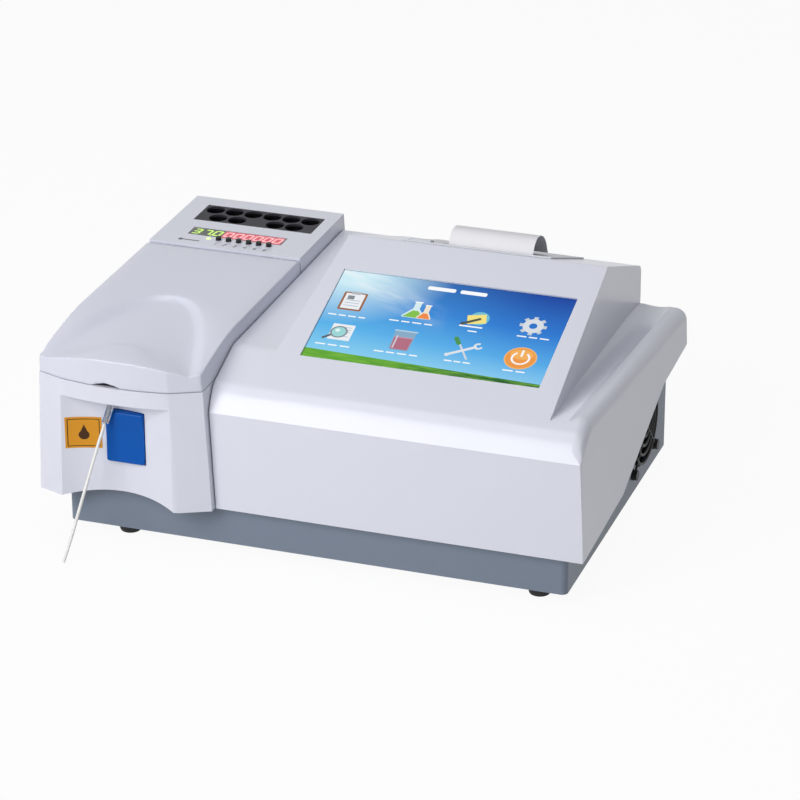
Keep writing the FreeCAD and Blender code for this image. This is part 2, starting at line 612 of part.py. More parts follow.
def tower():
    """The tower's moulding, its lid and the sticker in the niche."""
    wall = float(s.cover_wall)
    outer = tower_form(0.0)
    lower_edge = side_prism(side_edge() + [(BACK + 20, -20, 0), (FRONT - 20, -20, 0)],
                            LEFT - 20, TOWER_RIGHT + 20)
    hollow = tower_form(wall).cut(niche(wall, wall))
    shell = outer.cut([hollow, niche(0.0, 0.0), lower_edge])
    arch_radius = float(s.niche_width * s.niche_width / (8 * s.niche_arch))
    arch = Part.makeCylinder(arch_radius, 40,
                             Vector(float(TOWER_MID) - 1.7, float(FRONT) - 5,
                                    float(BASE + s.cover_lift + s.niche_arch) - arch_radius),
                             Vector(0, 1, 0))
    seam = float(s.seam_gap) / 2
    openings = [arch, lid_zone(seam)]
    openings.append(block((TOWER_RIGHT - 14, CHASSIS_FRONT - 1, 0),
                          (TOWER_RIGHT + 20, CHASSIS_BACK + 1, BASE + s.chassis_side_wall + 8)))
    gap = float(s.button_gap)
    openings.append(block((BUTTON_X - s.button_width / 2 - gap, NICHE_BACK - 12, BUTTON_Z - gap),
                          (BUTTON_X + s.button_width / 2 + gap, NICHE_BACK + 12,
                           BUTTON_Z + s.button_height + gap)))
    top_low, top_high = TOWER_TOP - s.cover_wall - 5, TOWER_TOP + 5
    for low_x, width, low_y, depth in (
            (WINDOW_LEFT, s.window_width, WINDOW_FRONT, s.window_depth),
            (INCUBATOR_X - s.incubator_width / 2, s.incubator_width,
             INCUBATOR_FRONT, s.incubator_depth)):
        openings.append(block((low_x, low_y, top_low), (low_x + width, low_y + depth, top_high)))
    swing = float(s.hinge_nose) * math.tan(math.radians(float(s.lid_opening) / 2)) + 2 * seam
    openings.append(block((LEFT - 20, HINGE_Y, HINGE_Z),
                          (TOWER_RIGHT + 20, HINGE_Y + swing, TOWER_TOP + 20)))
    for x, radius in [(x, s.key_radius + 0.3) for x in KEYS] + [(LED_X, s.led_radius + 0.1)]:
        openings.append(Part.makeCylinder(float(radius), 20,
                                          Vector(float(x), float(KEY_Y), float(top_low))))
    top = NEEDLE_TOP
    openings.append(Part.makeCylinder(2.4, 12, Vector(float(top[0]), float(top[1]),
                                                      float(BASE + s.niche_top) - 4)))
    posts = [Part.makeCylinder(2.4, float(TOWER_TOP - s.cover_wall + 0.5 - DISPLAY_TOP),
                               Vector(float(x), float(y), float(DISPLAY_TOP)))
             for x, y in display_posts()]
    piece("tower_cover", made("tower_shell", shell.cut(openings).fuse(posts)))

    lid_wall = float(s.lid_wall)
    lid = outer.common(lid_zone(-seam)).cut(scoop())
    core = tower_form(lid_wall).common(lid_zone(5.0)).cut(scoop_floor(lid_wall))
    core = core.cut(nose_solid())
    lid = lid.cut(core)
    notch = Part.makeCylinder(22.0, 14, Vector(float(TOWER_MID) - 4.6, float(FRONT) - 4,
                                               float(SEAM_Z) - 19.4), Vector(0, 1, 0))
    cuts = [notch]
    for x in HINGE_SPOTS:
        cuts.append(Part.makeCylinder(3.1, 9.2, Vector(float(x) - 4.6, float(HINGE_Y),
                                                       float(HINGE_Z)), Vector(1, 0, 0)))
        cuts.append(block((x - 4.6, HINGE_Y - 4, HINGE_Z - 12),
                          (x + 4.6, HINGE_Y + 9, HINGE_Z)))
        cuts.append(block((x - 4.6, HINGE_Y, HINGE_Z - 1), (x + 4.6, HINGE_Y + 9, HINGE_Z + 1.6)))
        cuts.append(Part.makeCylinder(float(s.hinge_pin + s.running_gap), 26,
                                      Vector(float(x) - 13, float(HINGE_Y), float(HINGE_Z)),
                                      Vector(1, 0, 0)))
    piece("measuring_lid", made("lid_shell", lid.cut(cuts)))
    sticker()


def nose_solid():
    """The rolled rear edge of the lid, kept solid for the hinge pins."""
    return Part.makeCylinder(float(s.hinge_nose), float(s.tower_width) + 40,
                             Vector(float(LEFT) - 20, float(HINGE_Y), float(HINGE_Z)),
                             Vector(1, 0, 0))


def scoop_floor(wall):
    """The scoop moved down by the lid's wall, so that the wall goes on under it."""
    floor = scoop()
    floor.translate(Vector(0, 0, -wall))
    return floor


def sticker():
    """An amber label that follows the hollow of the niche."""
    mid = TOWER_MID - 1.7
    low_x = mid - s.niche_width / 2 + 4
    zone = block((low_x, FRONT - 10, BASE + s.sticker_low),
                 (low_x + s.sticker_width * 0.9, NICHE_BACK + 10,
                  BASE + s.sticker_low + s.sticker_height))
    label = niche(0.0, 0.0).common(zone)
    inner = niche(0.0, 0.0)
    inner.translate(Vector(0, -0.3, 0))
    piece("amber_sticker", made("sticker", label.cut(inner)))


HINGE_SPOTS = [TOWER_MID - 32, TOWER_MID + 32]


def lid_hinge():
    """Two arms that rise under the rolled edge, on a plate screwed beneath the top."""
    arms = []
    plate_z = HINGE_Z - 15
    for x in HINGE_SPOTS:
        eye = rod("hinge_eye", (x - 4, HINGE_Y, HINGE_Z), 2.7, 8, "x")
        post = box("hinge_post", (x - 4, HINGE_Y - 1.9, plate_z), (8, 3.8, 15))
        arms += [eye, post]
    low_x = HINGE_SPOTS[0] - 6
    plate = box("hinge_plate", (low_x, HINGE_Y - 1.9, plate_z),
                (HINGE_SPOTS[1] - HINGE_SPOTS[0] + 12, 11.5, 2))
    riser = box("hinge_riser", (low_x, HINGE_Y + 8, plate_z),
                (HINGE_SPOTS[1] - HINGE_SPOTS[0] + 12, 1.6, TOWER_TOP - s.cover_wall - plate_z))
    pins = [rod("hinge_pin_one", (x - 12, HINGE_Y, HINGE_Z), s.hinge_pin, 24, "x")
            for x in HINGE_SPOTS]
    piece("lid_hinge_bracket", fuse("hinge_whole", plate, riser, *arms, *pins))


def button():
    """The aspirate button, with a flange behind the panel, in its guide with the switch."""
    width, height = s.button_width, s.button_height
    low_x = BUTTON_X - width / 2
    cap = box("button_cap", (low_x, BUTTON_FACE, BUTTON_Z), (width, 12.5, height))
    doc.recompute()
    fillet = doc.addObject("Part::Fillet", "button_round")
    fillet.Base = cap
    face_y = float(BUTTON_FACE)
    fillet.Edges = [(number, 1.6, 1.6) for number, edge in enumerate(cap.Shape.Edges, start=1)
                    if abs(edge.CenterOfMass.y - face_y) < 0.1
                    or abs(edge.Vertexes[0].Y - edge.Vertexes[1].Y) > 1]
    dish = rod("button_dish", (BUTTON_X - width, BUTTON_FACE - 88.6, BUTTON_Z + height * 0.42),
               90, 2 * width, "x")
    flange_y = BUTTON_FACE + 11
    flange = box("button_flange", (low_x - 2, flange_y, BUTTON_Z - 2), (width + 4, 2, height + 4))
    pusher = rod("button_pusher", (BUTTON_X, flange_y + 2, BUTTON_Z + height / 2), 2.5, 2, "y")
    piece("aspirate_button", fuse("button", cut("button_dished", fillet, dish), flange, pusher))

    front = NICHE_BACK + s.cover_wall + 0.6
    depth = flange_y + 2 + s.button_travel + 3 - front
    guide = box("guide_outer", (low_x - 5, front, BUTTON_Z - 5), (width + 10, depth, height + 10))
    inside = box("guide_inner", (low_x - 2.6, front - 1, BUTTON_Z - 2.6),
                 (width + 5.2, depth - 1, height + 5.2))
    window = box("guide_window", (BUTTON_X - 5.2, front, BUTTON_Z + height / 2 - 7.2),
                 (10.4, depth + 5, 14.4))
    switch_y = flange_y + 4 + s.button_travel
    body = box("switch_body", (BUTTON_X - 6, switch_y + 0.4, BUTTON_Z + height / 2 - 8),
               (12, 8, 16))
    piece("button_guide", fuse("guide_all", cut("guide", guide, inside, window), body))


# Sample needle: the top of its axis, and the unit step down along it
NEEDLE_TOP = (TOWER_MID - 4.2, FRONT + s.front_bow + 5.8, BASE + s.niche_top)
NEEDLE_STEP = (-0.255, -0.205, -0.945)


def along_needle(distance):
    return [place_ + step * distance for place_, step in zip(NEEDLE_TOP, NEEDLE_STEP)]


def needle_rod(name, start, radius, length):
    """A cylinder along the needle's axis, from a distance below its top."""
    axis = FreeCAD.Rotation(Vector(0, 0, 1), Vector(*NEEDLE_STEP))
    thing = doc.addObject("Part::Cylinder", name)
    bind(thing, Radius=radius, Height=length)
    thing.Placement.Rotation = axis
    return place(thing, *along_needle(start))


NEEDLE_END = 17.0


def needle():
    """A steel needle in a clear sleeve, hung from the niche, and its soft tube."""
    tube = needle_rod("needle_tube", -6, 0.8, NEEDLE_END + 6)
    piece("sample_needle", tube)
    outer = needle_rod("sleeve_outer", 3.4, 2.15, NEEDLE_END - 4.4)
    inner = needle_rod("sleeve_inner", 2, 0.8, NEEDLE_END)
    piece("needle_sleeve", cut("sleeve", outer, inner))
    piece("aspiration_tube", made("tube_sweep", cord_tube(TUBE_ROUTE, 1.0)))


# Free tube: its points from the needle's end to its open tip, as steps in millimetres
TUBE_ROUTE_STEPS = [(0.0, 0.0, 0.0), (-2.6, -2.8, -9.6), (-2.7, -5.0, -13.4),
                    (-2.9, -6.6, -15.5), (-3.0, -6.4, -15.6), (-2.6, -5.0, -13.8),
                    (-3.56, -6.22, -15.55)]


def tube_points():
    spot = Vector(*[float(v) for v in along_needle(NEEDLE_END + 0.2)])
    points = []
    for step in TUBE_ROUTE_STEPS:
        spot = spot + Vector(*step)
        points.append(spot)
    return points


def cord_tube(route, radius):
    """A round tube along straight runs joined by tangent arcs."""
    points = route()
    edges, start, length = [], points[0], 0.0
    for before, here, after in zip(points, points[1:], points[2:]):
        into, out = (before - here), (after - here)
        half = into.getAngle(out) / 2
        reach = 0.45 * min(into.Length, out.Length)
        first, last = here + into.normalize() * reach, here + out.normalize() * reach
        bend = reach * math.tan(half)
        middle = (into + out).normalize() * (bend / math.sin(half) - bend)
        print(f"tube bend radius {bend:.1f}")
        edges.append(Part.LineSegment(start, first).toShape())
        edges.append(Part.Arc(first, here + middle, last).toShape())
        start = last
    edges.append(Part.LineSegment(start, points[-1]).toShape())
    wire = Part.Wire(edges)
    length = wire.Length
    profile = Part.Wire(Part.Circle(points[0], points[1] - points[0], radius).toShape())
    tube = wire.makePipeShell([profile], True, True)
    print(f"tube length {length:.1f}, volume {tube.Volume:.2f}, "
          f"section times length {math.pi * radius ** 2 * length:.2f}")
    return tube


TUBE_ROUTE = tube_points


def incubator():
    """The aluminium well block, its black plate, and the steel shelf that floors the wells."""
    low_x, width, depth = INCUBATOR_X - s.incubator_width / 2, s.incubator_width, s.incubator_depth
    block_z = WELL_TOP - s.incubator_height
    inset = 0.6
    stock = box("block_stock", (low_x + inset, INCUBATOR_FRONT + inset, block_z),
                (width - 2 * inset, depth - 2 * inset, s.incubator_height))
    wells = [rod("block_well", (x, y, block_z - 1), s.well_radius, s.incubator_height + 2)
             for x, y in well_spots()]
    piece("incubator_block", cut("block_bored", stock, *wells))
    gap = 0.2
    corners = rectangle((gap, gap), (width - gap, depth - gap))
    holes = [(x - low_x, y - INCUBATOR_FRONT, s.well_radius + 0.15) for x, y in well_spots()]
    piece("incubator_plate", sketched("incubator_plate", corners, holes, s.plate_thickness, "xy",
                                      (low_x, INCUBATOR_FRONT, WELL_TOP)))
    shelf_z = block_z - s.steel_sheet
    shelf = box("shelf_top", (low_x, INCUBATOR_FRONT - 8, shelf_z),
                (width, depth + 8, s.steel_sheet))
    leg = box("shelf_leg", (low_x, INCUBATOR_FRONT - 8, FLOOR),
              (width, s.steel_sheet, shelf_z - FLOOR + s.steel_sheet))
    foot = box("shelf_foot", (low_x, INCUBATOR_FRONT - 20, FLOOR), (width, 13, s.steel_sheet))
    slot = box("shelf_slot", (low_x + 18, INCUBATOR_FRONT - 12, FLOOR + 18),
               (width - 36, 12, shelf_z - FLOOR - 36))
    piece("incubator_shelf", cut("shelf", fuse("shelf_whole", shelf, leg, foot), slot))


def display():
    """Smoked window, digit modules, board, status light and six sprung timer keys."""
    window_z = TOWER_TOP - s.window_thickness - 0.3
    gap = 0.15
    piece("display_window", box("window", (WINDOW_LEFT + gap, WINDOW_FRONT + gap, window_z),
                                (s.window_width - 2 * gap, s.window_depth - 2 * gap,
                                 s.window_thickness)))
    board_z = DISPLAY_TOP - 1.6
    module_y = WINDOW_FRONT + 0.5
    modules = [box("digit_module", (low_x, module_y, board_z + 1.6),
                   (width, s.window_depth - 1, 7.3))
               for low_x, width in ((WINDOW_LEFT + 1, 21.5), (WINDOW_LEFT + 23, 42.0))]
    piece("digit_modules", fuse("digit_module_pair", *modules))
    holes = [(x - DISPLAY_LOW[0], y - DISPLAY_LOW[1], 1.2) for x, y in display_posts()]
    board = sketched("display_board", rectangle((0, 0), DISPLAY_SIZE), holes, 1.6, "xy",
                     (*DISPLAY_LOW, board_z))
    switch_top = TOWER_TOP - s.cover_wall - 3.2
    switches = [box("key_switch", (x - 2.2, KEY_Y - 2.2, board_z + 1.5),
                    (4.4, 4.4, switch_top - board_z - 1.5)) for x in KEYS]
    piece("display_board", fuse("display_board_all", board, *switches))
    for number, x in enumerate(KEYS, start=1):
        stem_z = switch_top + s.key_travel + 0.2
        stem = rod("key_stem", (x, KEY_Y, stem_z), s.key_radius,
                   TOWER_TOP + s.key_proud - stem_z)
        collar = rod("key_collar", (x, KEY_Y, stem_z), s.key_radius + 0.9, 1)
        piece(f"timer_key_{number}", fuse(f"key_{number}", stem, collar))
    led_low = rod("led_stem", (LED_X, KEY_Y, board_z + 1.6), s.led_radius,
                  TOWER_TOP - board_z - 1.6 + 0.1)
    piece("status_light", led_low)


# Main cover

SCREEN_SLOPE = s.screen_tilt.tan()
CREASE_Y = FRONT + s.cover_setback + s.cover_lean
RIDGE_Y = BACK - s.ridge_setback
RIDGE_Z = BASE + s.ridge_height
REAR_Z = BASE + s.rear_edge_height
REAR_RUN = s.ridge_setback - 4
REAR_SLOPE = (RIDGE_Z - REAR_Z) / REAR_RUN


def plane_z(y):
    """Height of the screen plane at a place from front to back."""
    return RIDGE_Z - SCREEN_SLOPE * (RIDGE_Y - y)


CORNER_Y = CREASE_Y + s.band_run
CREASE_Z = plane_z(CORNER_Y) - s.band_rise


def front_line(top_y):
    """Front face, crease and rounded band, up to the screen plane at top_y."""
    return [(FRONT + s.cover_setback, BASE + s.cover_lift, 0), (CREASE_Y, CREASE_Z, 0),
            (CORNER_Y, plane_z(CORNER_Y), s.band_radius), (top_y, plane_z(top_y), 0)]


def lower_line():
    return [(y, z, radius) for y, z, radius in side_edge()[1:4]] + [
        (BACK, BASE + s.side_edge_back, 0)]


def body_outline(meet, back_z):
    """Side outline of the low body: band, long shoulder, back wall and stepped edge."""
    front = front_line(meet)[:3]
    top = [(meet, plane_z(meet), 18), (BACK, back_z, 8)]
    return front + top + list(reversed(lower_line()))


def plateau_outline():
    """Side outline of the raised middle: screen plane, ridge and slope to the back."""
    front = front_line(RIDGE_Y)[:3]
    back_z = REAR_Z - REAR_SLOPE * 4
    return front + [(RIDGE_Y, RIDGE_Z, 5), (BACK, back_z, 8)] + list(reversed(lower_line()))


def plateau_plan(inset):
    """The raised middle in (x, y): it narrows towards the back."""
    left, right = TOWER_RIGHT - s.tower_draft_right + s.plateau_left - 4, RIGHT - s.plateau_right
    run = (BACK + 10 - FRONT) / (RIDGE_Y - CREASE_Y)
    return [(left + inset, FRONT, 0), (right + s.plateau_taper_right * 0.2 - inset, FRONT, 0),
            (right - s.plateau_taper_right * run - inset, BACK + 10, 0),
            (left + s.plateau_taper_left * run + inset, BACK + 10, 0)]


def cover_body(inset):
    """The main cover as one solid, smaller by inset but open to the left and below."""
    low_x, right = TOWER_RIGHT - 30, RIGHT - inset
    split_left = TOWER_RIGHT + s.plateau_left + 12
    split_right = RIGHT - s.plateau_right - 12
    prisms = []
    meet_left, meet_right = CORNER_Y + s.shoulder_run_left, CORNER_Y + s.shoulder_run_right
    shoulder_back = BASE + s.shoulder_right_back
    for outline, start, end in (
            (body_outline(meet_left, plane_z(meet_left) + 1.0), low_x, split_left),
            (body_outline(meet_right, shoulder_back), split_left - 2, right)):
        face = side_prism(outline, start, end)
        prisms.append(shrink(face, outline, start, end, inset))
    raised = shrink(None, plateau_outline(), split_left - 60, split_right + 30, inset)
    plan = plan_prism(plateau_plan(inset), 0, RIDGE_Z + 40)
    raised = raised.common(plan)
    prisms[1] = prisms[1].cut(trough(meet_right, shoulder_back, inset))
    low = prisms[1].fuse(prisms[0])
    return low.fuse(raised)


def trough(front_y, back_z, inset):
    """A shallow valley along the right shoulder, beside the raised middle."""
    depth, half = float(s.trough_depth), float(s.trough_half)
    radius = (half * half + depth * depth) / (2 * depth)
    x, lift = float(RIGHT - s.trough_in), radius - depth
    start = Vector(x, float(front_y), float(plane_z(front_y)) + lift)
    along = Vector(x, float(BACK), float(back_z) + lift) - start
    along.normalize()
    return Part.makeCylinder(radius + float(inset), float(BACK - front_y) + 60,
                             start - along * 18, along)


def shrink(solid, outline, start, end, inset):
    """The prism itself, or the same prism with its outline offset inwards."""
    if inset == 0:
        return solid or side_prism(outline, start, end)
    low_x, high_x = float(start), float(end)
    wire = rounded_wire(outline, lambda p: Vector(low_x, p.x, p.y))
    smaller = Part.Face(wire).makeOffset2D(-inset)
    inner = smaller.extrude(Vector(high_x - low_x, 0, 0))
    lower = inner.copy()
    lower.translate(Vector(0, 0, -inset - 2))
    return inner.fuse(lower)


def draft_wedge(inset):
    """What the right side loses between the base and the top."""
    low, high = BASE, RIDGE_Z + 20
    lean = s.cover_draft / 76
    return front_prism([(RIGHT + lean * s.cover_lift - inset, low, 0), (RIGHT + 30, low, 0),
                        (RIGHT + 30, high, 0),
                        (RIGHT - lean * (high - low - s.cover_lift) - inset, high, 0)],
                       FRONT - 20, BACK + 20)


SCREEN_X = RIGHT - s.screen_right - s.screen_width / 2
SCREEN_Y = RIDGE_Y - s.screen_below_ridge * s.screen_tilt.cos()
SCREEN_Z = RIDGE_Z - s.screen_below_ridge * s.screen_tilt.sin()


def on_screen(x, v, w):
    """A point x to the right, v up the slope and w out of the screen plane."""
    sine, cosine = s.screen_tilt.sin(), s.screen_tilt.cos()
    return (SCREEN_X + x, SCREEN_Y + cosine * v - sine * w, SCREEN_Z + sine * v + cosine * w)


def screen_box(name, low, size):
    """A block laid in the tilted screen's own directions."""
    thing = doc.addObject("Part::Box", name)
    bind(thing, Length=size[0], Width=size[1], Height=size[2])
    turn(thing, (1, 0, 0), s.screen_tilt)
    return place(thing, *on_screen(*low))


def tilted_block(low, size):
    low_point = Vector(*[float(v) for v in on_screen(*low)])
    shape = Part.makeBox(float(size[0]), float(size[1]), float(size[2]))
    shape.rotate(Vector(), Vector(1, 0, 0), float(s.screen_tilt))
    shape.translate(low_point)
    return shape


# Printer, in directions of its own: x, distance down the rear slope, and height over it
PRINTER_X = RIGHT - s.printer_right - s.printer_width / 2
REAR_ANGLE = math.degrees(math.atan(float(REAR_SLOPE)))
DOWN_Y, DOWN_Z = math.cos(math.radians(REAR_ANGLE)), -math.sin(math.radians(REAR_ANGLE))


def on_slope(x, down, up):
    """A point x from the printer's middle, down the rear slope and up from it."""
    return (PRINTER_X + x, RIDGE_Y + down * DOWN_Y - up * DOWN_Z,
            RIDGE_Z + down * DOWN_Z + up * DOWN_Y)


def slope_box(name, low, size):
    thing = doc.addObject("Part::Box", name)
    bind(thing, Length=size[0], Width=size[1], Height=size[2])
    turn(thing, (1, 0, 0), -REAR_ANGLE)
    return place(thing, *on_slope(*low))


def slope_block(low, size):
    shape = Part.makeBox(*[float(v) for v in size])
    shape.rotate(Vector(), Vector(1, 0, 0), -REAR_ANGLE)
    shape.translate(Vector(*[float(v) for v in on_slope(*low)]))
    return shape


def slope_rod(name, start, radius, length):
    """A cylinder along X, placed from the printer's middle."""
    return rod(name, on_slope(*start), radius, length, "x")


DOOR_LEFT = s.paper_shift - s.door_width / 2
DOOR_START = s.printer_drop + 7.2
DOOR_AXIS = s.printer_drop + s.printer_length - 6
DOOR_AXIS_UP = s.printer_proud - s.door_nose
PLATEN_DOWN = DOOR_START + 3.9
PLATEN_UP = Size.of(-7.0)
BUCKET_WALL = 2.0


def main_cover():
    """The big moulding with its screen opening, printer opening and bosses."""
    outer = cover_body(0)
    inner = cover_body(float(s.cover_wall))
    tower_space = tower_loft(float(s.seam_gap), BASE - 10, TOWER_TOP + 60)
    shell = outer.cut([tower_space, draft_wedge(0)])
    shell = round_shoulder(shell)
    shell = shell.cut(inner.cut(draft_wedge(s.cover_wall)))
    open_w, open_h = s.screen_width + 0.5, s.screen_height + 0.5
    window = tilted_block((-open_w / 2, -open_h / 2, -10), (open_w, open_h, 20))
    rebate_w, rebate_h = s.module_width + 0.8, s.module_height + 0.8
    rebate = tilted_block((-rebate_w / 2, -rebate_h / 2, -20 - s.screen_sunk),
                          (rebate_w, rebate_h, 20))
    bucket = slope_block((DOOR_LEFT - BUCKET_WALL - 0.3, s.printer_drop + 1.5, -20),
                         (s.door_width + 2 * BUCKET_WALL + 0.6, s.printer_length - 3, 40))
    tab = slope_block((-s.printer_width / 2 + 3.7, s.printer_drop + 1.7, -20), (15.6, 8.6, 40))
    bosses = [tilted_block((x - 4, y - 2.6, -s.cover_wall - 6), (8, 5.2, s.cover_wall + 5))
              for x, y in boss_spots()]
    shell = shell.fuse([boss.common(outer) for boss in bosses])
    piece("main_cover", made("cover_shell", shell.cut([window, rebate, bucket, tab])))


def boss_spots():
    half_w, half_h = s.module_width / 2 - 20, s.module_height / 2 + 3.4
    return [(a * half_w, b * half_h) for a in (-1, 1) for b in (-1, 1)]


def round_shoulder(shell):
    """Rounds the long edge where the right shoulder meets the side."""
    top, right = float(BASE + s.shoulder_right_back) - 12, float(RIGHT) - 12
    edges = [edge for edge in shell.Edges
             if edge.BoundBox.XMin > right and edge.BoundBox.ZMin > top
             and edge.BoundBox.YLength > 10]
    return shell.makeFillet(float(s.shoulder_round), edges) if edges else shell


def screen():
    """Touch glass, panel and the steel frame that holds them up against the cover."""
    width, height = s.module_width, s.module_height
    glass_w = -s.screen_sunk - s.glass_thickness - 0.05
    piece("touch_glass", screen_box("glass", (-width / 2, -height / 2, glass_w),
                                    (width, height, s.glass_thickness)))
    panel_w = glass_w - s.panel_thickness
    piece("lcd_panel", screen_box("panel_lcd", (-width / 2 + 0.5, -height / 2 + 0.5, panel_w),
                                  (width - 1, height - 1, s.panel_thickness)))
    frame_w = -s.cover_wall - 6 - s.steel_sheet
    frame = screen_box("frame_plate", (-width / 2, -height / 2 - 7, frame_w),
                       (width, height + 14, s.steel_sheet))
    hole = screen_box("frame_hole", (-width / 2 + 12, -height / 2 + 12, frame_w - 5),
                      (width - 24, height - 24, 15))
    piece("lcd_frame", cut("frame_cut", frame, hole))


def printer():
    """Panel printer: frame with paper bucket, hinged door with platen, head, roll, strip."""
    low = -s.printer_width / 2
    bezel = slope_box("bezel", (low, s.printer_drop, 0.05),
                      (s.printer_width, s.printer_length, s.printer_proud))
    wall = BUCKET_WALL
    tub = slope_box("tub", (DOOR_LEFT - wall, s.printer_drop + 2, -s.bucket_depth),
                    (s.door_width + 2 * wall, s.printer_length - 4, s.bucket_depth + 0.5))
    inside = slope_box("tub_inside", (DOOR_LEFT, s.printer_drop + 4, -s.bucket_depth + wall),
                       (s.door_width, s.printer_length - 8, s.bucket_depth + 10))
    mouth = slope_box("mouth", (DOOR_LEFT, DOOR_START - s.slot_width, -5),
                      (s.door_width, DOOR_AXIS + s.door_nose + 0.5 - DOOR_START + s.slot_width, 10))
    tab_hole = slope_box("tab_hole", (low + 4, s.printer_drop + 2, -5), (15, 8, 10))
    pivot = slope_rod("pivot_hole", (DOOR_LEFT - 5, DOOR_AXIS, DOOR_AXIS_UP),
                      1 + s.running_gap, s.door_width + 10)
    lip_fill = slope_box("lip_fill", (DOOR_LEFT, s.printer_drop + 2, -3),
                         (s.door_width, DOOR_START - s.slot_width - s.printer_drop - 2, 3.5))
    body = cut("printer_body", fuse("printer_whole", bezel, tub), inside, mouth, tab_hole, pivot)
    piece("printer_frame", fuse("printer_frame_all", body, lip_fill))

    gap = s.loose_gap
    plate = slope_box("door_plate", (DOOR_LEFT + gap, DOOR_START, s.printer_proud - s.door_plate),
                      (s.door_width - 2 * gap, DOOR_AXIS - DOOR_START, s.door_plate))
    roll = slope_rod("door_roll", (DOOR_LEFT + gap, DOOR_AXIS, DOOR_AXIS_UP),
                     s.door_nose, s.door_width - 2 * gap)
    stubs = slope_rod("door_stubs", (DOOR_LEFT - wall, DOOR_AXIS, DOOR_AXIS_UP), 1,
                      s.door_width + 2 * wall)
    ears = [slope_box("door_ear", (x, PLATEN_DOWN - 3.2, PLATEN_UP - 3.4),
                      (2, 9, s.printer_proud - PLATEN_UP + 1.6))
            for x in (s.paper_shift - s.paper_width / 2 - 3, s.paper_shift + s.paper_width / 2 + 1)]
    bore = slope_rod("door_bore", (DOOR_LEFT, PLATEN_DOWN, PLATEN_UP),
                     s.platen_shaft + s.running_gap, s.door_width)
    relief = slope_rod("door_relief", (s.paper_shift - s.paper_width / 2 - 0.9, PLATEN_DOWN,
                                       PLATEN_UP), s.platen_radius + 0.5, s.paper_width + 1.8)
    piece("printer_door", cut("door", fuse("door_whole", plate, roll, stubs, *ears), bore, relief))

    paper_low = s.paper_shift - s.paper_width / 2
    rubber = slope_rod("platen_rubber", (paper_low, PLATEN_DOWN, PLATEN_UP), s.platen_radius,
                       s.paper_width)
    shaft = slope_rod("platen_shaft_rod", (paper_low - 3.4, PLATEN_DOWN, PLATEN_UP),
                      s.platen_shaft, s.paper_width + 6.8)
    piece("platen_roller", fuse("platen", rubber, shaft))
    head_down = PLATEN_DOWN - s.platen_radius - 0.9
    piece("print_head", slope_box("head", (paper_low, s.printer_drop + 4.05, PLATEN_UP - 5),
                                  (s.paper_width, head_down - s.printer_drop - 4.05, 8.5)))
    roll_down, roll_up = DOOR_AXIS - 30, -s.bucket_depth + wall + s.roll_radius + 0.3
    coil = slope_rod("roll_body", (paper_low, roll_down, roll_up), s.roll_radius, s.paper_width)
    core = slope_rod("roll_core", (paper_low - 1, roll_down, roll_up), 6, s.paper_width + 2)
    piece("paper_roll", cut("roll", coil, core))
    piece("paper_strip", made("strip", paper_strip()))
    tab_low = low + 4 + 0.3
    cap = slope_box("tab_cap", (tab_low, s.printer_drop + 2.3, -s.cover_wall - 2),
                    (14.4, 7.4, s.cover_wall + 4.2))
    foot = slope_box("tab_foot", (tab_low - 1.2, s.printer_drop + 1.2, -s.cover_wall - 3.4),
                     (16.8, 9.6, 1.6))
    piece("release_tab", fuse("tab", cap, foot))


def paper_strip():
    """The printed strip: up through the slot, over a loose arch and down onto the door."""
    down = float(PLATEN_DOWN - s.platen_radius) - 0.12 - float(s.paper_sheet)
    low_x = s.paper_shift - s.paper_width / 2
    foot = Vector(*[float(v) for v in on_slope(low_x, down, float(PLATEN_UP) - 1.2)])
    rise = Vector(0, -DOWN_Z, DOWN_Y)
    lip = foot + rise * 10.6
    small, large = 10.0, 22.0
    across = Vector(0, DOWN_Y, DOWN_Z)
    centre = lip + across * small
    top = centre + Vector(0, 0, small)
    halfway = centre + (top + lip - centre * 2).normalize() * small
    far = centre - Vector(0, 0, large - small)
    angles = [math.radians(a) for a in (32, 64)]
    mid, end = [far + Vector(0, math.sin(a), math.cos(a)) * large for a in angles]
    fall = Vector(0, math.cos(angles[1]), -math.sin(angles[1]))
    tip = end + fall * 7.2
    edges = [Part.LineSegment(foot, lip).toShape(), Part.Arc(lip, halfway, top).toShape(),
             Part.Arc(top, mid, end).toShape(), Part.LineSegment(end, tip).toShape()]
    sheet_face = Part.Wire(edges).extrude(Vector(float(s.paper_width), 0, 0))
    return sheet_face.makeOffsetShape(float(s.paper_sheet), 0.01, fill=True)


# Inside the chassis

def electronics():
    """Main board on standoffs, and the power supply in its perforated case."""
    board_z = FLOOR + BOARD_LIFT
    corners = rectangle((0, 0), (BOARD_WIDTH, BOARD_DEPTH))
    board = sketched("main_board", corners, [(x, y, 1.7) for x, y in board_holes()], 1.6, "xy",
                     (BOARD_X, BOARD_Y, board_z))
    chips = [box("board_chip", (BOARD_X + x, BOARD_Y + y, board_z + 1.5), size)
             for x, y, size in ((20, 30, (22, 22, 2.4)), (60, 24, (14, 20, 2.2)),
                                (90, 40, (30, 12, 9)), (14, 68, (40, 8, 10)),
                                (70, 70, (24, 9, 12)), (110, 66, (16, 16, 18)))]
    piece("main_board", fuse("main_board_all", board, *chips))
    low = (CHASSIS_RIGHT - 130, CHASSIS_BACK - 118, FLOOR)
    case = box("supply_case", low, (SUPPLY_WIDTH, SUPPLY_DEPTH, SUPPLY_HEIGHT))
    slots = [box("supply_slot", (low[0] + 10 + 8 * number, low[1] + 14,
                                 low[2] + SUPPLY_HEIGHT - 6), (4, SUPPLY_DEPTH - 28, 10))
             for number in range(10)]
    piece("power_supply", cut("supply", case, *slots))


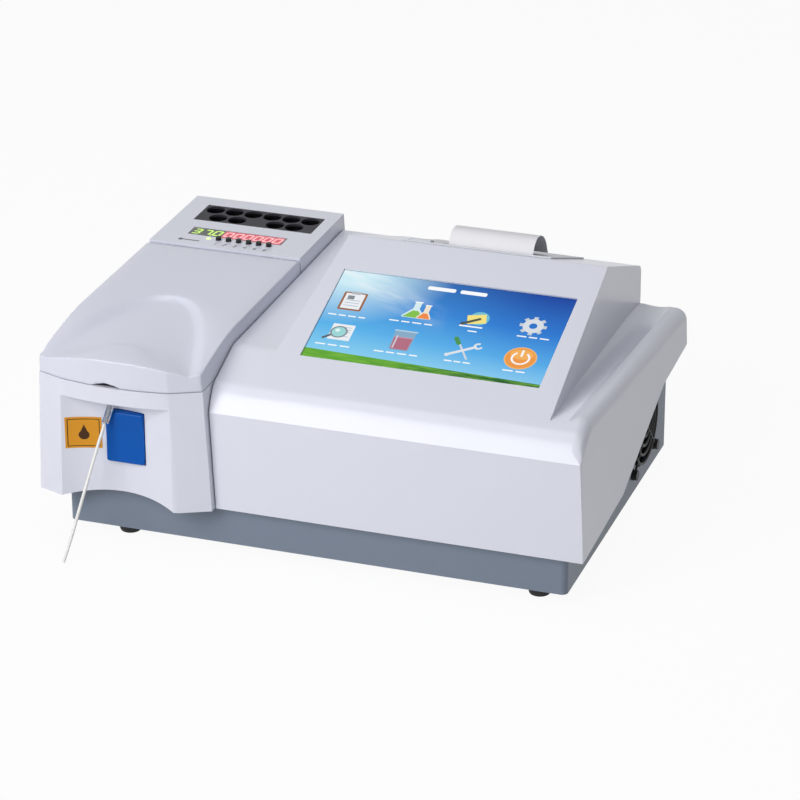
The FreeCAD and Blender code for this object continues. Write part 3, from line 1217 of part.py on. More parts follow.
def fan():
    """Sixty-millimetre side fan: frame, seven-blade rotor, wire guard and screws."""
    y, z = CHASSIS_BACK - s.fan_from_back, BASE + s.fan_height
    inside = CHASSIS_RIGHT - s.steel_sheet
    half, depth = s.fan_size / 2, s.fan_depth
    low = (inside - depth, y - half, z - half)
    stock = box("fan_stock", low, (depth, s.fan_size, s.fan_size))
    duct = rod("fan_duct", (inside - depth - 1, y, z), half - 1.4, depth + 2, "x")
    holes = [rod("fan_hole", (inside - depth - 1, y + a * s.fan_hole_spacing / 2,
                              z + b * s.fan_hole_spacing / 2), 2.05, depth + 2, "x")
             for a in (-1, 1) for b in (-1, 1)]
    shell = cut("fan_shell", stock, duct, *holes)
    struts = [turned_box("fan_strut", (inside - depth, y, z), (2, half - 1, 4), 45 + 90 * number)
              for number in range(4)]
    plate = rod("fan_motor_plate", (inside - depth, y, z), s.fan_hub, 2, "x")
    post = rod("fan_post", (inside - depth, y, z), s.fan_shaft, depth - 3, "x")
    piece("fan_frame", fuse("fan_frame_all", shell, plate, post, *struts))
    hub = rod("rotor_hub", (inside - depth + 2.6, y, z), s.fan_hub, depth - 4.2, "x")
    bore = rod("rotor_bore", (inside - depth, y, z), s.fan_shaft + s.running_gap, depth, "x")
    blades = made("rotor_blades", fan_blades(inside - depth + 3.4, y, z))
    piece("fan_rotor", cut("rotor", fuse("rotor_whole", hub, blades), bore))
    screws = []
    for a in (-1, 1):
        for b in (-1, 1):
            spot = (y + a * s.fan_hole_spacing / 2, z + b * s.fan_hole_spacing / 2)
            head = rod("fan_screw_head", (CHASSIS_RIGHT + 1.6, *spot), 3.4, 2, "x")
            shank = rod("fan_screw_shank", (inside - depth + 2, *spot), 1.9,
                        depth + s.steel_sheet, "x")
            screws.append(fuse("fan_screw", head, shank))
    piece("fan_guard", fuse("guard_all", made("guard", fan_guard(y, z)), *screws))


def turned_box(name, start, size, angle):
    """A bar from the fan's axis outwards, turned about X."""
    thing = doc.addObject("Part::Box", name)
    bind(thing, Length=size[0], Width=size[1], Height=size[2])
    turn(thing, (1, 0, 0), angle)
    return place(thing, *start)


def fan_blades(x, y, z):
    """Seven curved blades: thin twisted lofts round the hub."""
    centre = Vector(float(x), float(y), float(z))
    root, tip = float(s.fan_hub) - 1, float(s.fan_size) / 2 - 2.6
    chord = float(s.fan_depth) - 6
    blades = []
    for number in range(7):
        wires = []
        for radius, lean in ((root, 3.6), (tip, 7.4)):
            low = centre + Vector(0, -lean, radius)
            high = centre + Vector(chord, lean, radius)
            thick = Vector(0, 0.9, 0)
            wires.append(Part.makePolygon([low, high, high + thick, low + thick, low]))
        blade = Part.makeLoft(wires, True, True)
        blade.rotate(centre, Vector(1, 0, 0), 360 / 7 * number)
        blades.append(blade)
    return blades[0].fuse(blades[1:])


def fan_guard(y, z):
    """A wire guard: four rings on a cross of two bars, with an eye at each corner."""
    wire, gap = float(s.guard_wire), 0.1
    x = float(CHASSIS_RIGHT) + wire + gap - 0.1
    centre = Vector(x + 0.6, float(y), float(z))
    parts = [Part.makeTorus(radius, wire, centre, Vector(1, 0, 0)) for radius in (8, 14, 20, 26)]
    reach = float(s.fan_hole_spacing) / 2
    for sign in (-1, 1):
        start = centre + Vector(0, -reach, -reach * sign)
        step = Vector(0, 2 * reach, 2 * reach * sign)
        parts.append(Part.makeCylinder(wire * 0.8, step.Length, start, step))
        for end in (start, start + step):
            eye = Part.makeCylinder(3.6, 1.5, Vector(float(CHASSIS_RIGHT), end.y, end.z),
                                    Vector(1, 0, 0))
            parts.append(eye)
    guard = parts[0].fuse(parts[1:])
    for a in (-1, 1):
        for b in (-1, 1):
            hole = Part.makeCylinder(2.0, 10, centre + Vector(-5, a * reach, b * reach),
                                     Vector(1, 0, 0))
            guard = guard.cut(hole)
    face = block((CHASSIS_RIGHT - 10, y - 60, z - 60), (CHASSIS_RIGHT, y + 60, z + 60))
    return guard.cut(face)


def connectors():
    """Mains inlet, rocker switch, serial port, USB port and the waste fitting."""
    y, z = CHASSIS_BACK, INLET_HEIGHT
    flange = box("inlet_flange", (INLET_AT - 24.8, y, z - 13.8), (49.6, 2.4, 27.6))
    body = box("inlet_body", (INLET_AT - 14, y - 22, z - 10), (28, 23, 20))
    cavity = box("inlet_cavity", (INLET_AT - 12.2, y - 15, z - 8.2), (24.4, 25, 16.4))
    pins = [box("inlet_pin", (INLET_AT + x - 1, y - 16, z + h - 2), (2, 14, 4))
            for x, h in ((-7, -1.5), (0, 2), (7, -1.5))]
    piece("power_inlet", fuse("inlet_all", cut("inlet", fuse("inlet_w", flange, body), cavity),
                              *pins))
    flange = box("rocker_flange", (SWITCH_AT - 7.5, y, z - 11), (15, 1.8, 22))
    body = box("rocker_body", (SWITCH_AT - 6.5, y - 16, z - 10), (13, 17, 20))
    cavity = box("rocker_cavity", (SWITCH_AT - 5.3, y - 8, z - 8.8), (10.6, 20, 17.6))
    pivot = rod("rocker_pivot_hole", (SWITCH_AT - 6, y - 1.2, z), 1 + s.running_gap, 12, "x")
    piece("switch_frame", cut("switch", fuse("switch_w", flange, body), cavity, pivot))
    piece("power_rocker", made("rocker", rocker()))
    shell = box("serial_flange", (SERIAL_AT - 15.4, y, z - 6.2), (30.8, 1.2, 12.4))
    nose = front_prism([(SERIAL_AT - 8.6, z + 4.2, 1.5), (SERIAL_AT + 8.6, z + 4.2, 1.5),
                        (SERIAL_AT + 7.2, z - 4.2, 1.5), (SERIAL_AT - 7.2, z - 4.2, 1.5)],
                       y - 8, y + 6)
    serial = fuse("serial", shell, made("serial_nose", nose))
    usb = box("usb_body", (USB_AT - 6.1, y - 12, z - 5.6), (12.2, 13, 11.2))
    slot = box("usb_slot", (USB_AT - 4.3, y - 9, z - 3.9), (8.6, 12, 7.8))
    tongue = box("usb_tongue", (USB_AT - 2.9, y - 10, z - 1.6), (5.8, 9, 3.2))
    piece("data_ports", fuse("ports", serial, cut("usb_shell", usb, slot), tongue))
    hex_body = rod("fitting_body", (FITTING_AT, y - 8, z), 3.9, 10, "y")
    collar = rod("fitting_collar", (FITTING_AT, y, z), 7, 3, "y")
    barb = cone("fitting_barb", (FITTING_AT, y + 2.5, z), 3.4, 2.4, 11, "y")
    bore = rod("fitting_bore", (FITTING_AT, y - 10, z), 1.5, 30, "y")
    piece("waste_fitting", cut("fitting", fuse("fitting_w", hex_body, collar, barb), bore))


ROCKER_TILT = 9.0


def rocker():
    """The rocker, resting with its lower end pressed in, on two side pivots."""
    y, z = float(CHASSIS_BACK) - 1.2, float(INLET_HEIGHT)
    x = float(SWITCH_AT)
    outline = [(y + 0.2, z - 8.3, 0.8), (y + 3.2, z - 8.3, 0.8), (y + 2.0, z, 12),
               (y + 3.2, z + 8.3, 0.8), (y + 0.2, z + 8.3, 0.8), (y - 2.6, z, 6)]
    body = side_prism(outline, x - 4.9, x + 4.9)
    stubs = Part.makeCylinder(1.0, 11.6, Vector(x - 5.8, y, z), Vector(1, 0, 0))
    whole = body.fuse(stubs)
    whole.rotate(Vector(x, y, z), Vector(1, 0, 0), ROCKER_TILT)
    return whole


def optics():
    """Lamp, lens, filter wheel, flow cell and detector on a bench under the lid."""
    axis_x, axis_z = TOWER_MID + 8, FLOOR + 60
    back = CHASSIS_BACK - 62
    bench_z = axis_z - 32
    bench_low = (axis_x - 38, CHASSIS_FRONT + 12)
    bench_size = (66, 152)
    corners = rectangle((0, 0), bench_size)
    bolt_spots = [(x, y) for x in (6, bench_size[0] - 6) for y in (6, bench_size[1] - 6)]
    plate = sketched("optics_bench", corners, [(x, y, 1.6) for x, y in bolt_spots],
                     4, "xy", (*bench_low, bench_z))
    posts = [rod("bench_post", (bench_low[0] + x, bench_low[1] + y, FLOOR), 4,
                 bench_z - FLOOR + 0.5) for x, y in bolt_spots]
    top = bench_z + 4
    house = box("lamp_box", (axis_x - 20, back - 34, top), (40, 34, axis_z - top + 20))
    bore = rod("lamp_bore", (axis_x, back - 40, axis_z), 11, 36, "y")
    slots = [box("lamp_slot", (axis_x - 25, back - 30 + 8 * number, axis_z - 4), (12, 3, 30))
             for number in range(4)]
    piece("lamp_house", cut("lamp_cut", house, bore, *slots))
    glass = rod("lamp_glass", (axis_x, back - 22, axis_z), 5, 12, "y")
    stem = rod("lamp_stem", (axis_x, back - 10.5, axis_z), 7, 6.5, "y")
    piece("halogen_lamp", fuse("lamp", glass, stem))
    tube = rod("lens_tube", (axis_x, back - 62, axis_z), 10.5, 27.7, "y")
    hole = rod("lens_hole", (axis_x, back - 64, axis_z), 8, 32, "y")
    saddle = box("lens_saddle", (axis_x - 9, back - 58, top), (18, 20, axis_z - top - 6))
    bed = rod("lens_bed", (axis_x, back - 64, axis_z), 10.5, 32, "y")
    piece("lens_barrel", fuse("lens_all", cut("lens_tube_cut", tube, hole),
                              cut("lens_saddle_cut", saddle, bed)))
    wheel_x, wheel_y = axis_x - 20, back - 70
    disc = rod("wheel_disc", (wheel_x, wheel_y, axis_z), 27, 4, "y")
    hub = rod("wheel_hub", (wheel_x, wheel_y, axis_z), 7, 5.4, "y")
    bore = rod("wheel_bore", (wheel_x, wheel_y - 5, axis_z), 2 + s.running_gap, 16, "y")
    windows = [rod("wheel_window", (wheel_x + 20 * math.cos(math.radians(45 * n)), wheel_y - 2,
                                    axis_z + 20 * math.sin(math.radians(45 * n))), 5, 10, "y")
               for n in range(8)]
    piece("filter_wheel", cut("wheel", fuse("wheel_w", disc, hub), bore, *windows))
    motor = rod("wheel_motor", (wheel_x, wheel_y + 6, axis_z), 8.5, 24, "y")
    shaft = rod("wheel_shaft", (wheel_x, wheel_y - 1, axis_z), 2, 8, "y")
    saddle = box("wheel_saddle", (wheel_x - 8, wheel_y + 8, top), (16, 18, axis_z - top - 7))
    piece("filter_motor", fuse("motor_all", motor, shaft, saddle))
    cell_y = back - 108
    holder = box("cell_holder", (axis_x - 15, cell_y - 15, top - 0.5),
                 (30, 30, DECK_Z - top + 0.1))
    socket = box("cell_socket", (axis_x - 6.4, cell_y - 6.4, axis_z - 14), (12.8, 12.8, 80))
    path = rod("cell_path", (axis_x, cell_y - 30, axis_z), 3, 60, "y")
    piece("optics_bench", fuse("bench_all", plate, cut("holder", holder, socket, path), *posts))
    cell = box("cell_body", (axis_x - 6.2, cell_y - 6.2, axis_z - 14),
               (12.4, 12.4, DECK_Z + 8 - axis_z + 14))
    cap = box("cell_cap", (axis_x - 8, cell_y - 8, DECK_Z + s.cover_wall), (16, 16, 6))
    piece("flow_cell", fuse("cell", cell, cap))
    board = sketched("detector_board", rectangle((0, 0), (40, 44)),
                     [(4, 40, 1.6), (36, 40, 1.6)], 1.6, "xz", (axis_x - 20, cell_y - 24, top))
    sensor = rod("sensor", (axis_x, cell_y - 24.2, axis_z), 7, 6, "y")
    piece("detector_board", fuse("detector_all", board, sensor))
    deck(axis_x, cell_y)


DECK_Z = SEAM_Z - 8


def deck(axis_x, cell_y):
    """The moulded deck under the lid, on four long posts, open at the flow cell."""
    low_x, high_x = LEFT + s.tower_draft_left + 4.4, TOWER_RIGHT - s.tower_draft_right - 3.6
    low_y, high_y = FRONT + s.chassis_setback + 4, HINGE_Y - 8
    holes = []
    plate = sketched("deck_plate", rectangle((0, 0), (high_x - low_x, high_y - low_y)), holes,
                     s.cover_wall, "xy", (low_x, low_y, DECK_Z))
    hole = box("deck_hole", (axis_x - 6.6, cell_y - 6.6, DECK_Z - 5), (13.2, 13.2, 20))
    posts = [rod("deck_post", (x, y, FLOOR), 4, DECK_Z - FLOOR + 1)
             for x in (CHASSIS_LEFT + 8, high_x - 6) for y in (low_y + 14, high_y - 14)]
    piece("bay_deck", cut("deck_all", fuse("deck_w", plate, *posts), hole))


def pump():
    """Peristaltic pump: housing, three-roller head, motor and the squeezed tube."""
    x, y, z = TOWER_RIGHT + 30, CHASSIS_FRONT + 50, FLOOR + 36
    piece("pump_motor", fuse("pump_motor_all", rod("pump_can", (x, y, FLOOR), 17, 36),
                             rod("pump_shaft", (x, y, FLOOR + 30), 2, 20)))
    outer = rod("pump_outer", (x, y, z + 0.1), 28, 16)
    inner = rod("pump_inner", (x, y, z + 3), 24, 20)
    bore = rod("pump_bore", (x, y, z - 5), 3, 30)
    ports = [box("pump_port", (x + side * 21.8 - 2.2, y - 32, z + 6.8), (4.4, 32, 4.4))
             for side in (-1, 1)]
    piece("pump_housing", cut("pump_case", outer, inner, bore, *ports))
    hub = rod("head_hub", (x, y, z + 3.4), 8, 11)
    arms = []
    for number in range(3):
        angle = math.radians(90 + 120 * number)
        arms.append(rod("head_roller", (x + 13 * math.cos(angle), y + 13 * math.sin(angle),
                                        z + 4.6), 5, 8.6))
    disc = rod("head_disc", (x, y, z + 13.2), 18, 1.6)
    shaft_hole = rod("head_bore", (x, y, z), 2 + s.running_gap, 30)
    piece("pump_rollers", cut("pump_head", fuse("head_w", hub, disc, *arms), shaft_hole))
    bend = Part.makeTorus(21.8, 2, Vector(float(x), float(y), float(z) + 9), Vector(0, 0, 1), 0,
                          360, 180)
    legs = [Part.makeCylinder(2, 34, Vector(float(x) + side * 21.8, float(y) - 34, float(z) + 9),
                              Vector(0, 1, 0)) for side in (-1, 1)]
    piece("pump_tube", made("pump_tube_all", bend.fuse(legs)))


chassis()
feet()
tower()
lid_hinge()
button()
needle()
incubator()
display()
main_cover()
screen()
printer()
electronics()
fan()
connectors()
optics()
pump()
doc.recompute()

os.makedirs("parts", exist_ok=True)
for thing in doc.Objects:
    if "Invalid" in thing.State or "Error" in thing.State:
        raise RuntimeError(f"{thing.Label} was not rebuilt: {thing.State}")
for thing in pieces:
    if thing.Shape.isNull() or not thing.Shape.isValid():
        raise RuntimeError(f"{thing.Label} is not a valid solid")
for thing in pieces:
    thing.Shape.exportStep(f"parts/{thing.Label}.step")
    print(f"{thing.Label}: {len(thing.Shape.Solids)} solids, {thing.Shape.Volume:.0f} mm3")
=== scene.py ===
# %% [markdown]
# # A desktop blood analyzer
# The instrument measures chemistry in small blood samples. A grey moulded tower on the
# left holds the optics and a warm block for tubes, and a wide cover on the right carries
# a tilted touch screen. The solid model already has every part in its place and in real
# size, so this lesson only dresses it: it rounds moulded edges, lights the display,
# draws the screen and gives each part the finish that it has in real life.

# %% Load the solid model
import json

import bmesh
import bpy
import numpy as np
from mathutils import Matrix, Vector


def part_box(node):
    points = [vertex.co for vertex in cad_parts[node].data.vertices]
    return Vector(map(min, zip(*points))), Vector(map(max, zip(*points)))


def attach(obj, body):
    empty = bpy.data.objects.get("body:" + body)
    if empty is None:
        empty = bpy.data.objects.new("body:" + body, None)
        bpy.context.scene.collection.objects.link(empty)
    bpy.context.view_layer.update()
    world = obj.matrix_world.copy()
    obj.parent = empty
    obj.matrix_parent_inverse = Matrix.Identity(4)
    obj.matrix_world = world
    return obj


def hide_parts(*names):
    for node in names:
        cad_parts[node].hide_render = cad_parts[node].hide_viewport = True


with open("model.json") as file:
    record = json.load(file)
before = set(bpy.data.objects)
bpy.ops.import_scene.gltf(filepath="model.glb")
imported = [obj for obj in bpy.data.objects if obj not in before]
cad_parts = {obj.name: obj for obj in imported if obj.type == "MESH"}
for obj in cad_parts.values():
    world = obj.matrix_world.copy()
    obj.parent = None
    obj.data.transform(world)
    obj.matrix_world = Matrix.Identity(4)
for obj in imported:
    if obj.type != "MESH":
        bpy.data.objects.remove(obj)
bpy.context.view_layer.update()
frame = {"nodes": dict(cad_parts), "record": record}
nodes = frame["nodes"]
slot_of = {part["node"]: part["material_slot"] for part in frame["record"]["subparts"]}
MM = 0.001

# %% [markdown]
# ## The camera
# The lens and place below were fitted to known straight edges of the object: the screen,
# which is a standard 7-inch panel, gives the scale. A long lens from two metres keeps
# the far edges nearly parallel, as in a catalogue picture. Cameras and lamps both look
# along their own -Z, so the two helpers here serve both.

# %% Camera
CAMERA_PLACE = np.array([0.68025, -1.91865, 0.98920])
CAMERA_AZIMUTH, CAMERA_ELEVATION, CAMERA_ROLL = 19.01, 24.40, -0.12
FOCAL_LENGTH, SENSOR_WIDTH = 156.6, 36.0


def direction(azimuth, elevation):
    """The unit vector to a viewer at these angles in degrees; azimuth 0 is the front."""
    azimuth, elevation = np.radians([azimuth, elevation])
    return np.array([np.sin(azimuth) * np.cos(elevation),
                     -np.cos(azimuth) * np.cos(elevation), np.sin(elevation)])


def placement(rightward, upward, backward, place):
    """The world matrix of a thing whose own X, Y and Z point along the three vectors."""
    matrix = np.eye(4)
    matrix[:3, :3] = np.column_stack([rightward, upward, backward])
    matrix[:3, 3] = place
    return Matrix(matrix.tolist())


backward = direction(CAMERA_AZIMUTH, CAMERA_ELEVATION)
rightward = np.cross(-backward, [0, 0, 1])
rightward /= np.linalg.norm(rightward)
upward = np.cross(rightward, -backward)
roll = np.radians(CAMERA_ROLL)
rightward, upward = (np.cos(roll) * rightward + np.sin(roll) * upward,
                     np.cos(roll) * upward - np.sin(roll) * rightward)
lens = bpy.data.cameras.new("camera")
lens.lens, lens.sensor_width = FOCAL_LENGTH, SENSOR_WIDTH
camera = bpy.data.objects.new("camera", lens)
camera.matrix_world = placement(rightward, upward, backward, CAMERA_PLACE)
bpy.context.scene.collection.objects.link(camera)
bpy.context.scene.camera = camera
print("camera looks along", np.round(-backward, 3))

# %% [markdown]
# ## The sample tube
# A thin white tube hangs from the needle and ends in the air, where a sample cup is held
# up to it. A swept mesh would do, but a curve with a round bevel stays exact and light.
# Its control points are the ones that the solid model states.

# %% Sample tube
TUBE_ROUTE = [(-128.84, -130.88, 87.05), (-131.44, -133.68, 77.45), (-134.14, -138.68, 64.05),
              (-137.04, -145.28, 48.55), (-140.04, -151.68, 32.95), (-142.64, -156.68, 19.15),
              (-146.2, -162.9, 3.6)]
TUBE_RADIUS = 1.0
line = bpy.data.curves.new("sample_tube", "CURVE")
line.dimensions, line.bevel_depth, line.bevel_resolution = "3D", 1.0, 4
line.use_fill_caps, line.resolution_u = True, 12
spline = line.splines.new("NURBS")
spline.points.add(len(TUBE_ROUTE) - 1)
for point, place in zip(spline.points, TUBE_ROUTE):
    point.co = (*[value * MM for value in place], 1.0)
    point.radius = TUBE_RADIUS * MM
spline.order_u, spline.use_endpoint_u = 3, True
sample_tube = bpy.data.objects.new("sample_tube", line)
bpy.context.scene.collection.objects.link(sample_tube)
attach(sample_tube, "housing")
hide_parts("aspiration_tube")
print("the sample tube has", len(TUBE_ROUTE), "control points")

# %% [markdown]
# ## Arithmetic on shader sockets
# A material is a small formula. Its nodes could be placed and linked one by one, which
# takes many lines that say little. Here a socket is wrapped so that Python's own
# operators add the Math nodes, and each finish reads as a line of arithmetic.


# %% Sockets as numbers
def feed(tree, socket, item):
    """Links a wrapped socket, or sets a plain value."""
    if isinstance(item, Wire):
        tree.links.new(item.socket, socket)
    else:
        socket.default_value = item


class Wire:
    """An output socket that can be added, multiplied and compared."""

    def __init__(self, tree, socket):
        self.tree, self.socket = tree, socket

    def math(self, operation, first, second=0.0, clamp=False):
        node = self.tree.nodes.new("ShaderNodeMath")
        node.operation, node.use_clamp = operation, clamp
        feed(self.tree, node.inputs[0], first)
        feed(self.tree, node.inputs[1], second)
        return Wire(self.tree, node.outputs[0])

    def __add__(self, other):
        return self.math("ADD", self, other)

    def __sub__(self, other):
        return self.math("SUBTRACT", self, other)

    def __rsub__(self, other):
        return self.math("SUBTRACT", other, self)

    def __mul__(self, other):
        return self.math("MULTIPLY", self, other)

    def __truediv__(self, other):
        return self.math("DIVIDE", self, other)

    def __pow__(self, other):
        return self.math("POWER", self, other)

    def __gt__(self, other):
        return self.math("GREATER_THAN", self, other)

    def __lt__(self, other):
        return self.math("LESS_THAN", self, other)

    __radd__, __rmul__ = __add__, __mul__

    def absolute(self):
        return self.math("ABSOLUTE", self)

    def clamped(self):
        return self.math("ADD", self, clamp=True)

    def larger(self, other):
        return self.math("MAXIMUM", self, other)


print("sockets can now be added, multiplied and compared")

# %% [markdown]
# ## Colours
# Colours are read off a picture as they show on a screen, from 0 to 255. Shaders reckon
# with light itself, which grows much faster than those numbers, so each colour is turned
# into linear values first. Without this step every part would look washed out.


# %% Colours
def ink(red, green, blue, alpha=1.0):
    """A screen colour as linear values."""
    screen = np.array([red, green, blue]) / 255.0
    linear = np.where(screen <= 0.04045, screen / 12.92, ((screen + 0.055) / 1.055) ** 2.4)
    return (*linear.tolist(), alpha)


def darker(colour, share):
    """The colour at a share of its brightness."""
    return (*[channel * share for channel in colour[:3]], 1.0)


PALE = ink(222, 224, 234)
print("the covers' pale grey is", np.round(PALE[:3], 3), "in linear values")

# %% [markdown]
# ## A material under construction
# Every finish below starts from the same class. It adds nodes by name, and it holds the
# few patterns that come back: soft noise in the object's own coordinates, which moves
# with the part, a mix of two colours, a ramp of many, and a relief.


# %% Finishes
class Finish:
    """A material under construction: one method adds any node to it."""

    def __init__(self, name):
        self.material = bpy.data.materials.new(name)
        self.material.use_nodes = True
        self.tree = self.material.node_tree
        self.tree.nodes.clear()

    def node(self, kind, settings=None, inputs=None, output=0):
        node = self.tree.nodes.new("ShaderNode" + kind)
        for name, value in (settings or {}).items():
            setattr(node, name, value)
        for name, item in (inputs or {}).items():
            feed(self.tree, node.inputs[name], item)
        return Wire(self.tree, node.outputs[output])

    def place(self, output="Object"):
        return self.node("TexCoord", output=output)

    def axes(self, vector):
        node = self.tree.nodes.new("ShaderNodeSeparateXYZ")
        feed(self.tree, node.inputs[0], vector)
        return [Wire(self.tree, socket) for socket in node.outputs]

    def noise(self, scale, detail=2.0, roughness=0.5, stretch=(1, 1, 1), vector=None):
        """Cloudy variation from 0 to 1; scale counts its lumps per metre."""
        spread = self.node("Mapping", inputs={"Vector": vector or self.place(),
                                              "Scale": stretch})
        return self.node("TexNoise", inputs={"Vector": spread, "Scale": scale,
                                             "Detail": detail, "Roughness": roughness})

    def mix(self, share, low, high):
        return self.node("Mix", {"data_type": "RGBA"}, {0: share, 6: low, 7: high}, output=2)

    def ramp(self, share, stops):
        """Colours along a share from 0 to 1; each stop is (position, colour)."""
        ramp = self.node("ValToRGB", inputs={"Fac": share})
        elements = ramp.socket.node.color_ramp.elements
        while len(elements) < len(stops):
            elements.new(0.5)
        for element, (position, colour) in zip(elements, stops):
            element.position, element.color = position, colour
        return ramp

    def bump(self, height, depth, strength=1.0):
        """A relief of the given depth in metres."""
        return self.node("Bump", inputs={"Height": height, "Distance": depth,
                                         "Strength": strength})

    def surface(self, socket):
        """Ends the material with its surface shader."""
        out = self.tree.nodes.new("ShaderNodeOutputMaterial")
        self.tree.links.new(socket, out.inputs["Surface"])
        return self.material

    def done(self, **sockets):
        """The usual surface shader; keywords are its socket names with _ for a space."""
        named = {name.replace("_", " "): item for name, item in sockets.items()}
        return self.surface(self.node("BsdfPrincipled", inputs=named).socket)


print("patterns ready: noise, mix, ramp and bump")

# %% [markdown]
# ## Moulded plastic
# The covers are injection moulded in a cool pale grey. Their mould was spark-eroded, so
# the surface has a grain a fraction of a millimetre across, too fine to see as dots but
# enough to soften reflections. Noise gives all three traces of it: a faint clouding of
# the colour, a fine relief, and a roughness that wanders a little. The blue button takes
# little shine, since it stands in shade and would turn milky with the room's reflection.


# %% Moulded plastics
def moulded(name, colour, roughness=0.36, grain=0.00002, coat=0.0, shine=0.5):
    """Moulded plastic; grain is the depth of its relief in metres."""
    finish = Finish(name)
    shade = finish.mix(finish.noise(14.0, detail=3.0), darker(colour, 0.97), colour)
    relief = finish.bump(finish.noise(2600.0, detail=1.0), grain, strength=0.35)
    smear = finish.noise(60.0, detail=4.0) * 0.06 + (roughness - 0.03)
    return finish.done(Base_Color=shade, Roughness=smear, Normal=relief, Coat_Weight=coat,
                       Specular_IOR_Level=shine)


materials = {
    "cover_grey": moulded("cover_plastic", PALE, 0.34, coat=0.15),
    "lid_grey": moulded("lid_plastic", ink(218, 220, 232), 0.36, coat=0.1),
    "button_blue": moulded("button_plastic", ink(0, 84, 172), 0.24, 0.00001, shine=0.16),
    "inner_black": moulded("black_plastic", ink(30, 30, 32), 0.5, shine=0.3),
    "window_smoke": moulded("smoked_window", ink(24, 24, 28), 0.12, 0.000002, coat=0.6),
    "digit_body": moulded("digit_module_plastic", ink(40, 40, 44), 0.5),
    "screen_glass": moulded("screen_glass", ink(40, 60, 80), 0.08, 0.000001, coat=0.6),
    "printer_grey": moulded("printer_plastic", ink(200, 202, 208), 0.42),
    "tube_white": moulded("white_tube", ink(236, 236, 232), 0.3, 0.000004),
    "tube_soft": moulded("pump_tube_rubber", ink(222, 216, 196), 0.42),
}
print(len(materials), "moulded finishes")

# %% [markdown]
# ## Painted and bare metal
# The steel base is powder coated: the powder melts into a skin with the slight waviness
# called orange peel, which is a coarser noise than the grain of a mould. Bare sheet and
# turned metal keep fine lines from rolling or turning. Noise that is stretched forty
# times along one axis gives such lines without a picture.


# %% Metals
def powder_coated(name, colour, roughness=0.46, shine=0.5):
    """Powder-coated steel: orange peel and small flecks in the colour."""
    finish = Finish(name)
    fleck = finish.noise(1500.0)
    return finish.done(Base_Color=finish.mix(fleck, darker(colour, 0.93), colour),
                       Roughness=roughness + 0.05 * (fleck - 0.5), Specular_IOR_Level=shine,
                       Normal=finish.bump(finish.noise(420.0), 0.00006, strength=0.5))


def metal(name, colour, roughness=0.3, stretch=(1, 40, 1)):
    """Bare metal with fine drawing lines along one direction."""
    finish = Finish(name)
    lines = finish.noise(900.0, stretch=stretch)
    return finish.done(Base_Color=colour, Metallic=1.0,
                       Roughness=(roughness - 0.08) + 0.16 * lines,
                       Normal=finish.bump(lines, 0.00001, strength=0.4))


EVEN = (1, 1, 1)
materials |= {
    "base_paint": powder_coated("base_powder_coat", ink(120, 131, 147)),
    "plate_black": powder_coated("well_plate_paint", ink(56, 55, 61), 0.5, 0.12),
    "steel": metal("folded_steel", ink(168, 170, 172), 0.38),
    "zinc": metal("zinc_plated", ink(190, 192, 196), 0.26),
    "alloy": metal("bead_blasted_alloy", ink(176, 178, 182), 0.45, EVEN),
    "alloy_black": metal("black_anodised_alloy", ink(40, 40, 44), 0.45, EVEN),
    "panel_metal": metal("panel_back", ink(130, 132, 138), 0.4),
    "supply_case": metal("supply_case", ink(176, 178, 180), 0.4),
}
print(len(materials), "finishes with the metals")

# %% [markdown]
# ## Rubber, paper, clear plastic and boards
# The feet are matt rubber with dust in their pores. Printer paper shows its fibres, and
# the flow cell is clear. The status lamp glows by itself. A circuit board is green lacquer
# over copper tracks: a noise cut at one level gives strips with hard edges, which look
# like tracks from the small distance that anyone sees them at.


# %% Other materials
def rubber(name, colour):
    finish = Finish(name)
    dust = finish.noise(300.0, detail=4.0)
    dusty = (*[channel + 0.02 for channel in colour[:3]], 1.0)
    return finish.done(Base_Color=finish.mix(dust, colour, dusty), Roughness=0.75 + 0.15 * dust,
                       Normal=finish.bump(finish.noise(1800.0), 0.00003, strength=0.6))


def paper(name, colour):
    """Thermal paper: matt, with the fibres just showing."""
    finish = Finish(name)
    fibre = finish.noise(1200.0, detail=4.0, stretch=(1, 3, 3))
    return finish.done(Base_Color=finish.mix(fibre, darker(colour, 0.95), colour), Roughness=0.7,
                       Normal=finish.bump(fibre, 0.00002, strength=0.5))


def clear_plastic(name, colour):
    finish = Finish(name)
    return finish.done(Base_Color=colour, Roughness=0.05 + 0.04 * finish.noise(200.0),
                       Transmission_Weight=0.9, IOR=1.45)


def glowing(name, colour, glow):
    """A lit lamp, a little uneven in its colour."""
    finish = Finish(name)
    shade = finish.mix(finish.noise(700.0, detail=1.0), darker(colour, 0.8), colour)
    return finish.done(Base_Color=shade, Emission_Color=shade, Emission_Strength=glow,
                       Roughness=0.25)


def circuit_board(name):
    """Green lacquer over copper tracks."""
    finish = Finish(name)
    tracks = finish.noise(160.0, detail=0.0, stretch=(1, 6, 1)) > 0.52
    return finish.done(Base_Color=finish.mix(tracks, ink(18, 88, 52), ink(36, 118, 70)),
                       Roughness=0.32, Normal=finish.bump(tracks, 0.00004, strength=0.6))


materials |= {
    "rubber_black": rubber("foot_rubber", ink(28, 28, 30)),
    "thermal_paper": paper("thermal_paper", ink(238, 237, 240)),
    "clear": clear_plastic("clear_plastic", ink(226, 230, 234)),
    "lamp_green": glowing("status_lamp", ink(206, 238, 150), 0.9),
    "board_green": circuit_board("circuit_board"),
}
print(len(materials), "finishes so far")

# %% [markdown]
# ## The amber sticker
# A printed film beside the needle tells the operator where the blood goes. Its print
# could be thin shapes laid on top, but the film is flat, so a formula in its own width and
# height is enough: a thin frame, and a drop that is a disc under a narrow wedge.

